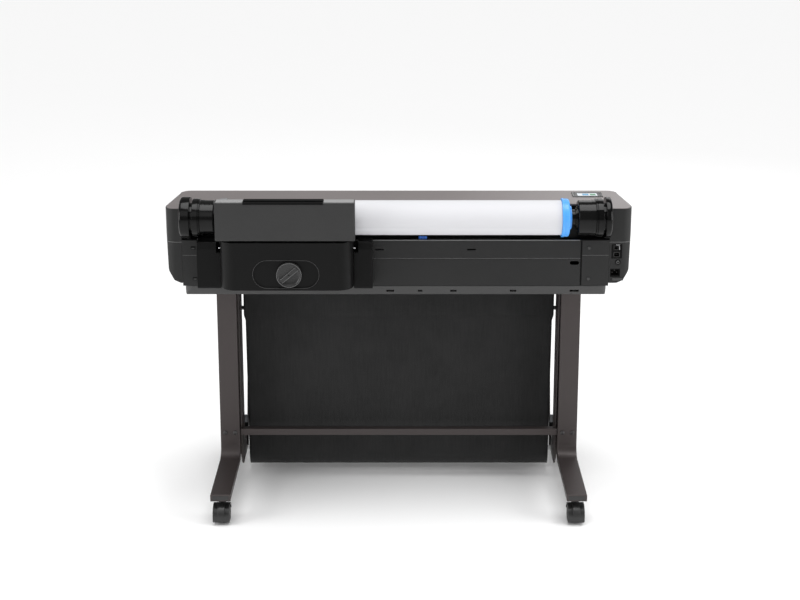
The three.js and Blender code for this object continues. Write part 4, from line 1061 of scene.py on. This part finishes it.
@dataclass
class SheetFeeder(Assembly):
    """The cut sheet feeder on the left: its box, raised cover, slide-out rest, knob and arms."""

    edge: float = 0.0016
    recess_half: float = 0.092
    recess_high: float = 0.040
    recess_offset: float = -0.009
    grip_angle: float = -40.0
    lip_reach: float = 0.0018

    def build(self) -> None:
        """Builds every feeder piece."""
        self.rework("asf_body", Finishes.FEEDER_LOW, self.edge)
        self.rework("asf_cover", Finishes.FEEDER, self.edge)
        self.extension()
        for side in ("left", "right"):
            self.rework(f"asf_arm_{side}", Finishes.ARM, self.edge)
        self.recess_ring()
        self.knob()
        self.pins()
        self.pickup()

    def recess_ring(self) -> None:
        """The raised lip round the knob's recess, lighter grey as a painted highlight."""
        low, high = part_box("asf_knob")
        middle = ((low.x + high.x) / 2 + self.recess_offset, (low.z + high.z) / 2)
        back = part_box("asf_body")[0].y
        line = self.stadium(middle, self.recess_half, self.recess_high)
        path = [(u, back + 0.0002, v) for u, v in line + line[:1]]
        Shape().tube(path, 0.0006, 8).piece("knob_recess_lip_highlight", [Finishes.LIP_HIGHLIGHT], BODY["asf_body"],
                                            "feeder")

    def stadium(self, middle: Point2, half: float, high: float) -> list[Point2]:
        """A rectangle with semicircular ends."""
        left = ring_outline((middle[0] - half + high, middle[1]), high, 90, 270, 16)
        right = ring_outline((middle[0] + half - high, middle[1]), high, -90, 90, 16)
        return left + right

    def knob(self) -> None:
        """A round knob with a raised bar across it between two scooped halves, a flat black disc painted
        as the shade of its centre hole, and light grey lines and a ring painted as highlights on the
        bar's edges and rim.
        """
        low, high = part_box("asf_knob")
        radius = (high.x - low.x) / 2
        middle = ((low.x + high.x) / 2, low.y, (low.z + high.z) / 2)
        deep = high.y - low.y
        knob = Shape().turned(((0.0, 0.0055), (radius * 0.55, 0.0052), (radius * 0.8, 0.0035),
                               (radius * 0.86, 0.0012), (radius * 0.91, 0.0002), (radius * 0.96,
                                                                                  0.0004), (radius,
                                                                                            0.002),
                               (radius, deep), (0.0, deep)), Axis.Y, middle, 72)
        turn = Matrix.Rotation(math.radians(self.grip_angle), 4, "Y")
        half_long = radius * 0.86
        bar = rounded((-half_long, -0.0062), (half_long, 0.0062), 0.004, 6)
        knob.prism(bar, Axis.Y, 0.0004, deep * 0.6, 0.0018, 3, Matrix.Translation(middle) @ turn)
        # painted shade: a flat black disc for the shaded centre hole
        knob.use(1).turned(((0.0, -0.0001), (0.0021, -0.0001), (0.0025, 0.0006), (0.0025, 0.002),
                            (0.0, 0.002)), Axis.Y, (middle[0], middle[1] + 0.0004, middle[2]), 20)
        # painted highlights: light grey lines along the bar's edges and a light grey ring round the rim
        knob.use(2)
        for edge in (-0.0054, 0.0054):
            line = rounded((-half_long * 0.94, edge - 0.0004), (half_long * 0.94, edge + 0.0004),
                           0.0003, 2)
            knob.prism(line, Axis.Y, 0.0001, 0.0012, 0.0, 1, Matrix.Translation(middle) @ turn)
        knob.turned(sleeve(radius * 0.965, radius * 0.99, 0.0, 0.0012), Axis.Y, middle, 72)
        knob.stand_in("feed_knob", [Finishes.DIAL, Finishes.BLACK, Finishes.PRINT_AND_HIGHLIGHT], "asf_knob")

    def pins(self) -> None:
        """The bright pivot pins between the arms and the feeder."""
        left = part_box("asf_arm_left")
        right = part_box("asf_arm_right")
        pins = Shape()
        for x in (left[1].x + 0.001, right[0].x - 0.001):
            pins.turned(((0.0, -0.0065), (0.0016, -0.0065), (0.0020, -0.0060), (0.0020, 0.0060),
                         (0.0016, 0.0065), (0.0, 0.0065)), Axis.X, (x, left[0].y - 0.004, 0.799), 24)
        pins.piece("arm_pins", [Finishes.STEEL], "frame", "steel")

    def pickup(self) -> None:
        """The pick-up shaft with its three rubber tyres."""
        low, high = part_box("asf_pickup_roller")
        y, z = (low.y + high.y) / 2, (low.z + high.z) / 2
        radius = (high.z - low.z) / 2
        shaft = radius * 0.45
        roller = Shape().use(1).rod(shaft, low.x, high.x, Axis.X,
                                       (0.0, y, z), 24)
        roller.use(0)
        for share in (0.2, 0.5, 0.8):
            x = low.x + (high.x - low.x) * share
            tyre = [(shaft, x - 0.018), (radius - 0.001, x - 0.018), (radius, x - 0.017)]
            for rib in range(6):
                tyre += [(radius, x - 0.015 + rib * 0.006), (radius - 0.0007, x - 0.0142 + rib * 0.006),
                         (radius - 0.0007, x - 0.0118 + rib * 0.006), (radius, x - 0.011 + rib * 0.006)]
            tyre += [(radius, x + 0.0255), (radius - 0.001, x + 0.0262), (shaft, x + 0.0262),
                     (shaft, x - 0.018)]
            roller.turned(tyre, Axis.X, (0.0, y, z), 40)
        roller.stand_in("pickup_tyres", [Finishes.RUBBER, Finishes.STEEL], "asf_pickup_roller")

    def extension(self) -> None:
        """The slide-out rest, with a rolled finger lip over the cover's top, and light grey strips
        painted as highlights on the cover's top edges.
        """
        low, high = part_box("asf_extension")
        cover_low, cover_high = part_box("asf_cover")
        rest = Shape().copy("asf_extension", 0.0006)
        back = cover_low.y - self.lip_reach
        section = [(back, high.z - 0.0075), (cover_low.y - 0.0004, high.z - 0.0075),
                   (cover_low.y - 0.0004, cover_high.z + 0.0003), (cover_high.y - 0.002,
                                                                   cover_high.z + 0.0003),
                   (cover_high.y - 0.002, high.z), (back, high.z)]
        rest.prism(section, Axis.X, low.x, high.x, 0.0008, 3)
        rest.stand_in("slide_out_rest", [Finishes.BLACK], "asf_extension")
        # painted highlights: light grey strips over the cover's top face beside the rest
        edges = Shape()
        for start, end in ((cover_low.x + 0.003, low.x - 0.0012), (high.x + 0.0012,
                                                                   cover_high.x - 0.003)):
            edges.block((start, cover_low.y + 0.0045, cover_high.z - 0.0010),
                        (end, cover_high.y - 0.0025, cover_high.z + 0.0005), 0.0004, 2)
        edges.piece("cover_top_highlights", [Finishes.FEEDER_TOP_HIGHLIGHT], BODY["asf_cover"], "feeder")


# ---- print engine ----------------------------------------------------------------------------

@dataclass
class PrintEngine(Assembly):
    """What lies under the front cover: platen, rollers, rail, belt, carriage and inks."""

    rib_pitch: float = 0.030

    def build(self) -> None:
        """Builds the engine's pieces."""
        self.rework("carriage_rail", Finishes.STEEL, 0.0006, "extrusion")
        self.rework("carriage", Finishes.BLACK, 0.0012)
        self.rework("power_supply", Finishes.STEEL, 0.0008, "case")
        self.rework("platen", Finishes.BLACK, 0.0006)
        self.cover()
        self.platen_ribs()
        self.feed_roller()
        self.belt()
        self.cartridges()
        self.carriage_details()

    def cover(self) -> None:
        """The tinted window that lifts over the platen, with its frame and grip."""
        low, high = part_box("access_cover")
        self.rework("access_cover", Finishes.WINDOW, 0.0008, "window")
        grip = Shape().block((-0.09, high.y - 0.010, low.z + 0.004), (0.09, high.y + 0.0001,
                                                                      low.z + 0.0068), 0.0012)
        grip.piece("cover_grip", [Finishes.BLACK], BODY["access_cover"], "black_plastic")

    def platen_ribs(self) -> None:
        """The ribs and suction holes that hold the paper flat."""
        low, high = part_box("platen")
        ribs = Shape()
        count = int((high.x - low.x - 0.02) / self.rib_pitch)
        for number in range(count):
            x = low.x + 0.012 + number * self.rib_pitch
            ribs.use(0).block((x, low.y + 0.004, high.z - 0.001), (x + 0.0016, high.y - 0.004,
                                                                   high.z + 0.0006), 0.0003, 1)
            for y in (0.3, 0.7):
                ribs.use(1).rod(0.0022, 0.0002, -0.001, Axis.Z,
                                   (x + self.rib_pitch / 2, low.y + (high.y - low.y) * y, high.z), 10)
        ribs.piece("platen_ribs", [Finishes.ARM, Finishes.RUBBER], "frame", "black_plastic")

    def feed_roller(self) -> None:
        """A steel shaft with grit-coated bands."""
        low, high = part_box("feed_roller")
        y, z = (low.y + high.y) / 2, (low.z + high.z) / 2
        radius = (high.z - low.z) / 2
        roller = Shape().use(1).rod(radius * 0.86, low.x, high.x, Axis.X, (0.0, y, z), 40)
        roller.use(0)
        bands = 9
        for number in range(bands):
            x = low.x + (high.x - low.x) * (number + 0.5) / bands
            roller.turned(((radius * 0.8, x - 0.028), (radius - 0.0008, x - 0.028), (radius, x - 0.027),
                           (radius, x + 0.027), (radius - 0.0008, x + 0.028), (radius * 0.8, x + 0.028),
                           (radius * 0.8, x - 0.028)), Axis.X, (0.0, y, z), 40)
        roller.stand_in("drive_shaft", [Finishes.RUBBER, Finishes.STEEL], "feed_roller")

    def belt(self) -> None:
        """The toothed belt and the two toothed pulleys."""
        self.rework("drive_belt", Finishes.RUBBER, 0.0, "band")
        for side in ("left", "right"):
            node = f"belt_pulley_{side}"
            low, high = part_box(node)
            x, y = (low.x + high.x) / 2, (low.y + high.y) / 2
            z = (low.z + high.z) / 2
            vertical = (high.z - low.z) < (high.x - low.x)
            axis = Axis.Z if vertical else Axis.Y
            radius = (high.x - low.x) / 2
            along = (high.z - low.z if vertical else high.y - low.y) / 2
            pulley = Shape().turned(((0.002, -along), (radius, -along), (radius, -along * 0.86),
                                     (radius * 0.94, -along * 0.8), (radius * 0.94, along * 0.8),
                                     (radius, along * 0.86), (radius, along), (0.002, along),
                                     (0.002, -along)), axis, (x, y, z), 32)
            pulley.stand_in(f"{node}_wheel", [Finishes.STEEL], node)

    def cartridges(self) -> None:
        """The four inks, each with a coloured label and gold contacts."""
        for number, ink in enumerate(Finishes.INKS, start=1):
            node = f"ink_cartridge_{number}"
            low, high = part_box(node)
            self.rework(node, Finishes.BLACK, 0.0012, "shell")
            label = Shape().block((low.x + 0.003, high.y - 0.0008, low.z + 0.012),
                                  (high.x - 0.003, high.y + 0.0003, high.z - 0.014), 0.0002, 1)
            label.use(1)
            for row in range(3):
                z = low.z + 0.0045 + row * 0.0022
                label.block((low.x + 0.004, high.y - 0.0006, z), (high.x - 0.004, high.y + 0.0002,
                                                                  z + 0.0014), 0.0)
            label.piece(f"ink_label_{number}", [ink, Finishes.BRASS], BODY[node], "cartridge")

    def carriage_details(self) -> None:
        """The carriage's lid and latch."""
        low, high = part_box("carriage")
        lid = Shape().block((low.x + 0.008, low.y + 0.010, high.z - 0.001), (high.x - 0.008,
                                                                             high.y - 0.012,
                                                                             high.z + 0.0012), 0.001)
        lid.use(1).block((low.x + 0.034, high.y - 0.0105, high.z - 0.014), (high.x - 0.034,
                                                                            high.y + 0.0004,
                                                                            high.z - 0.004), 0.0012)
        lid.piece("carriage_lid", [Finishes.ARM, Finishes.BLUE], BODY["carriage"], "black_plastic")


# ---- stand -----------------------------------------------------------------------------------

def column_back(side: str) -> float:
    """The rear face of a leg's column, above its foot."""
    leg = frame["nodes"][f"stand_leg_{side}"].data
    return min(vert.co.y for vert in leg.vertices if vert.co.z > 0.3)


@dataclass
class Stand(Assembly):
    """Two T-shaped legs, the crossbar between them and four twin-wheel casters."""

    edge: float = 0.0022
    bolt_radius: float = 0.0065
    bolt_inset: float = 0.014
    bolt_height: float = 0.168
    tyre_gap: float = 0.008
    trail: float = 0.012

    def build(self) -> None:
        """Builds the legs, crossbar and casters."""
        for side in ("left", "right"):
            self.rework(f"stand_leg_{side}", Finishes.BRONZE, self.edge, "casting")
        self.rework("crossbar", Finishes.BRONZE, 0.001, "weldment")
        self.bolts()
        self.foot_trim()
        for end in ("rear", "front"):
            for side in ("left", "right"):
                self.caster(end, side)

    def bolts(self) -> None:
        """Round-headed bolts where the crossbar meets the legs."""
        bolts = Shape()
        for side in ("left", "right"):
            low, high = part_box(f"stand_leg_{side}")
            for x in (low.x + self.bolt_inset, high.x - self.bolt_inset):
                bolts.bolt(Axis.Y, (x, column_back(side) - 0.0002, self.bolt_height), self.bolt_radius,
                           -0.003)
        bolts.piece("stand_bolts", [Finishes.DARK_STEEL], "frame", "steel")

    def foot_trim(self) -> None:
        """Rubber end plugs on the feet."""
        plugs = Shape()
        for side in ("left", "right"):
            low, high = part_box(f"stand_leg_{side}")
            for y, sign in ((low.y, -1), (high.y, 1)):
                plugs.block((low.x + 0.006, min(y, y + sign * 0.0008), 0.0805),
                            (high.x - 0.006, max(y, y + sign * 0.0008), 0.0925), 0.0003, 1)
        plugs.piece("foot_plugs", [Finishes.CASTER], "frame", "caster_plastic")

    def caster(self, end: str, side: str) -> None:
        """One caster: twin treaded wheels under a hood, with a swivel stem and a brake lever."""
        wheel, fork = f"caster_wheel_{end}_{side}", f"caster_fork_{end}_{side}"
        low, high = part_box(wheel)
        radius = (high.z - low.z) / 2 + 0.0002
        centre = Vector(((low.x + high.x) / 2, (low.y + high.y) / 2, radius))
        half = (high.x - low.x) / 2
        wheels = Shape()
        for sign in (-1, 1):
            inside, outside = sign * self.tyre_gap / 2, sign * half
            across = outside - inside
            wheels.use(0).turned(((0.004, inside), (radius - 0.002, inside), (radius - 0.0005,
                                                                              inside + across * 0.08),
                                  (radius, inside + across * 0.2), (radius, inside + across * 0.75),
                                  (radius - 0.0008, inside + across * 0.88), (radius - 0.0035,
                                                                              inside + across * 0.96),
                                  (radius * 0.78, outside), (radius * 0.74, inside + across * 0.93),
                                  (radius * 0.3, inside + across * 0.86), (radius * 0.28,
                                                                           inside + across * 0.96),
                                  (0.004, inside + across * 0.96), (0.004, inside)), Axis.X, centre, 56)
            cap = ((0.0, inside + across * 0.9), (0.0045, inside + across * 0.99),
                   (0.006, inside + across * 0.93), (0.006, inside + across * 0.7),
                   (0.0, inside + across * 0.7))
            wheels.use(1).turned(cap, Axis.X, centre, 24)
        wheels.rod(0.0045, -self.tyre_gap * 0.7, self.tyre_gap * 0.7, Axis.X, centre, 20)
        wheels.stand_in(f"twin_wheels_{end}_{side}", [Finishes.TREAD, Finishes.CASTER], wheel)
        self.hood(fork, centre, -1 if end == "rear" else 1, f"{end}_{side}")

    def hood(self, fork: str, centre: Vector, out: int, label: str) -> None:
        """The fork with its hood, the brake lever and the stem."""
        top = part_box(fork)[1].z
        stem_y = centre.y - out * self.trail
        hood = Shape().copy(fork, 0.0009)
        lever = [(centre.y + out * u, v) for u, v in ((0.012, 0.050), (0.028, 0.043), (0.036, 0.034),
                                                      (0.0385, 0.0345), (0.034, 0.048), (0.022, 0.058),
                                                      (0.010, 0.060))]
        hood.use(1).prism(lever, Axis.X, centre.x - 0.010, centre.x + 0.010, 0.0012, 2)
        hood.use(2).rod(0.0095, top - 0.0012, top - 0.0002, Axis.Z, (centre.x, stem_y, 0.0), 32)
        hood.stand_in(f"caster_hood_{label}", [Finishes.CASTER, Finishes.CASTER, Finishes.STEEL], fork)


# ---- media bin -------------------------------------------------------------------------------

@dataclass
class MediaBin(Assembly):
    """The cloth bin under the printer: one sheet from the rear rod, under, and up to the front rod."""

    half_width: float = 0.466
    top: float = 0.640
    rear_y: float = 0.0723
    bend: float = 0.045
    sweep: float = 166.4
    floor: float = 0.0192
    columns: int = 120
    rows: int = 210
    thickness: float = 0.0012
    sleeve: float = 0.131
    seam_width: float = 0.004
    seam_dip: float = 0.0016
    fold_height: float = 0.0011
    seed: int = 11

    def build(self) -> None:
        """Builds the rods, arms and cloth."""
        self.rods()
        self.brackets()
        self.cloth()

    def rods(self) -> None:
        """Round steel rods with pressed ends, and the swinging arms."""
        self.rework("bin_rear_rod", Finishes.DARK_STEEL, 0.0, "bar")
        self.rework("bin_front_rod", Finishes.DARK_STEEL, 0.0, "bar")
        for side in ("left", "right"):
            self.rework(f"bin_arm_{side}", Finishes.BRONZE, 0.0008, "bar")

    def brackets(self) -> None:
        """The grey catches and dark stops between the cloth and the side plates."""
        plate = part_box("crossbar")
        catches = Shape()
        for side in (-1, 1):
            near, far = sorted((side * 0.4626, side * (plate[1].x - 0.0052)))
            catches.use(0).prism(rounded((0.078, 0.163), (0.094, 0.186), 0.005), Axis.X, near, far,
                                 0.0012)
            catches.use(1).prism(rounded((0.080, 0.128), (0.092, 0.166), 0.003), Axis.X, near, far,
                                 0.0010)
        catches.piece("bin_catches", [Finishes.GREY, Finishes.BLACK], "frame", "stand_metal")

    def line(self) -> list[Vector]:
        """The cloth's side view, as closely spaced (Y, Z) points from the rear top to the front rod."""
        points = [Vector((self.rear_y, self.top)), Vector((self.rear_y, self.floor + self.bend))]
        middle = (self.rear_y + self.bend, self.floor + self.bend)
        points += [Vector(p) for p in ring_outline(middle, self.bend, 180, 180 + self.sweep, 28)[1:]]
        low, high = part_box("bin_front_rod")
        rod = Vector(((low.y + high.y) / 2, (low.z + high.z) / 2))
        over = (high.z - low.z) / 2 + 0.0011
        start = points[-1]
        ahead = (rod - start).normalized()
        side = Vector((-ahead.y, ahead.x))
        turn = math.degrees(math.atan2(-side.y, -side.x))
        tangent = rod - side * over
        points.append(tangent)
        points += [Vector(p) for p in ring_outline((rod.x, rod.y), over, turn, turn + 200, 16)[1:]]
        tail = points[-1] - ahead * 0.035 + side * 0.001
        points.append(tail)
        return points

    def cloth(self) -> None:
        """Lays a grid along the side view, with hems, soft folds and a UV map in metres."""
        path = self.line()
        lengths = [0.0]
        for first, second in zip(path, path[1:]):
            lengths.append(lengths[-1] + (second - first).length)
        total = lengths[-1]
        part = bmesh.new()
        bmesh.ops.create_grid(part, x_segments=self.columns, y_segments=self.rows, size=1.0)
        chance = random.Random(self.seed)
        folds = [(chance.uniform(-1, 1), chance.uniform(0.03, 0.12), chance.uniform(-1, 1),
                  chance.uniform(0.3, 1.2)) for _ in range(26)]
        layer = part.loops.layers.uv.new("UVMap")
        where = {}
        for vert in part.verts:
            u, v = vert.co.x, (vert.co.y + 1.0) / 2 * total
            where[vert] = (u * self.reach(v), v)
        for face in part.faces:
            face.smooth = True
            for loop in face.loops:
                loop[layer].uv = where[loop.vert]
        for vert, (x, v) in where.items():
            index = 0
            while index < len(lengths) - 2 and lengths[index + 1] < v:
                index += 1
            share = (v - lengths[index]) / (lengths[index + 1] - lengths[index])
            point = path[index].lerp(path[index + 1], share)
            ahead = (path[index + 1] - path[index]).normalized()
            normal = Vector((-ahead.y, ahead.x))
            lift = self.fold(x / self.half_width, v, total, folds)
            vert.co = Vector((x, point.x + normal.x * lift, point.y + normal.y * lift))
        mesh = bpy.data.meshes.new("bin_cloth_sheet")
        part.to_mesh(mesh)
        part.free()
        mesh.materials.append(Finishes.FABRIC.material())
        cloth = bpy.data.objects.new("bin_cloth_sheet", mesh)
        bpy.context.scene.collection.objects.link(cloth)
        solid = cloth.modifiers.new("cloth_thickness", "SOLIDIFY")
        solid.thickness = self.thickness
        solid.offset = 0.0
        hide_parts("bin_fabric_rear", "bin_fabric_front")
        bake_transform(cloth)
        LOG.info("bin_cloth_sheet is %.3f by %.3f m", 2 * self.half_width, total)

    def reach(self, v: float) -> float:
        """Half the cloth's width at a distance from its top: full over the sleeve, then less."""
        past = min(max((v - self.sleeve) / 0.012, 0.0), 1.0)
        return self.half_width - 0.0048 * past - 0.0028 * min(max((v - self.sleeve) / 0.45, 0.0), 1.0)

    def fold(self, u: float, v: float, total: float, folds: Sequence[tuple[float, float, float,
                                                                           float]]) -> float:
        """How far the cloth stands off its line: soft upright folds, and hem ridges."""
        share = v / total
        lift = 0.0
        for place, width, amount, rate in folds:
            drift = place + 0.10 * math.sin(rate * 4.0 * share + place * 9.0)
            crest = math.exp(-((u - drift) / width) ** 2)
            lift += amount * self.fold_height * crest * math.sin(math.pi * min(share / 0.42, 1.0))
        edge = max(0.0, (abs(u) - 0.955) / 0.045)
        lift *= 1.0 - edge * 0.6
        stitch = abs(v - self.sleeve)
        if stitch < self.seam_width:
            lift += self.seam_dip * (1 - stitch / self.seam_width)
        return lift


# ---- studio ----------------------------------------------------------------------------------

@dataclass
class Studio:
    """A pale floor, soft lights and the camera."""

    camera_place: tuple[float, float, float] = (0.0038, -4.4159, 1.9676)
    pitch: float = 14.21
    focal: float = 70.44
    shift: float = -0.11
    floor_half: float = 30.0
    fill: float = 0.22

    def build(self) -> None:
        """Sets up floor, world, lights and camera."""
        self.floor()
        self.world()
        self.sun("overhead_soft", (0.05, -0.10, 1.0), 46.0, 2.5)
        self.lamp("loading_side_soft", (-1.2, -3.6, 3.4), (0.0, 0.0, 0.7), 2.2, 14.0)
        self.lamp("far_side_soft", (1.5, 3.2, 2.8), (0.0, 0.0, 0.7), 2.2, 22.0)
        for side in (-1, 1):
            self.lamp(f"side_soft_{'left' if side < 0 else 'right'}", (side * 3.0, -1.3, 1.5),
                      (0.0, -0.2, 0.8), 1.6, 42.0)
        self.camera()
        bpy.context.scene.view_settings.view_transform = "Standard"

    def floor(self) -> None:
        """A plain pale floor."""
        part = bmesh.new()
        bmesh.ops.create_grid(part, x_segments=1, y_segments=1, size=self.floor_half)
        mesh = bpy.data.meshes.new("studio_floor")
        part.to_mesh(mesh)
        part.free()
        mesh.materials.append(Finish("floor_white", (0.94, 0.94, 0.94), 0.9, specular=0.1, variation=0.0,
                                     grain_depth=0.0).material())
        floor = bpy.data.objects.new("studio_floor", mesh)
        bpy.context.scene.collection.objects.link(floor)

    def world(self) -> None:
        """An even pale surround, seen white and lighting softly."""
        world = bpy.data.worlds.new("studio_surround")
        bpy.context.scene.world = world
        world.use_nodes = True
        graph = Graph(world.node_tree)
        world.node_tree.nodes.clear()
        lit = graph.node("Background", in_Strength=self.fill)
        seen = graph.node("Background", in_Strength=1.0)
        rays = graph.node("LightPath")
        mixed = graph.node("MixShader")
        output = graph.node("OutputWorld")
        graph.link(rays.outputs["Is Camera Ray"], mixed.inputs[0])
        graph.link(lit.outputs[0], mixed.inputs[1])
        graph.link(seen.outputs[0], mixed.inputs[2])
        graph.link(mixed.outputs[0], output.inputs[0])
        for shader in (lit, seen):
            shader.inputs["Color"].default_value = (1.0, 1.0, 1.0, 1.0)

    def sun(self, name: str, towards: Sequence[float], softness: float, strength: float) -> None:
        """A very soft distant light, from a direction, with its angular size in degrees."""
        light = bpy.data.lights.new(name, "SUN")
        light.angle = math.radians(softness)
        light.energy = strength
        lamp = bpy.data.objects.new(name, light)
        lamp.rotation_euler = Vector(towards).to_track_quat("Z", "Y").to_euler()
        bpy.context.scene.collection.objects.link(lamp)

    def lamp(self, name: str, place: Sequence[float], aim: Sequence[float], size: float,
             power: float) -> None:
        """A square soft light aimed at a point."""
        light = bpy.data.lights.new(name, "AREA")
        light.size = size
        light.energy = power
        lamp = bpy.data.objects.new(name, light)
        lamp.location = place
        lamp.rotation_euler = (Vector(aim) - Vector(place)).to_track_quat("-Z", "Y").to_euler()
        bpy.context.scene.collection.objects.link(lamp)

    def camera(self) -> None:
        """The view from behind the machine, a little above it."""
        data = bpy.data.cameras.new("studio_camera")
        data.lens = self.focal
        data.sensor_width = 36.0
        data.shift_y = self.shift
        data.clip_end = 200.0
        camera = bpy.data.objects.new("studio_camera", data)
        camera.location = self.camera_place
        camera.rotation_euler = (math.radians(90.0 - self.pitch), 0.0, 0.0)
        bpy.context.scene.collection.objects.link(camera)
        bpy.context.scene.camera = camera


def main() -> None:
    """Builds the plotter's sub-assemblies in order, then the studio."""
    for part in (Casing(), ControlPanel(), Connections(), RollFeed(), SheetFeeder(), PrintEngine(),
                 Stand(), MediaBin(), Studio()):
        LOG.info("building %s", type(part).__name__)
        part.build()


if __name__ == "__main__":
    main()
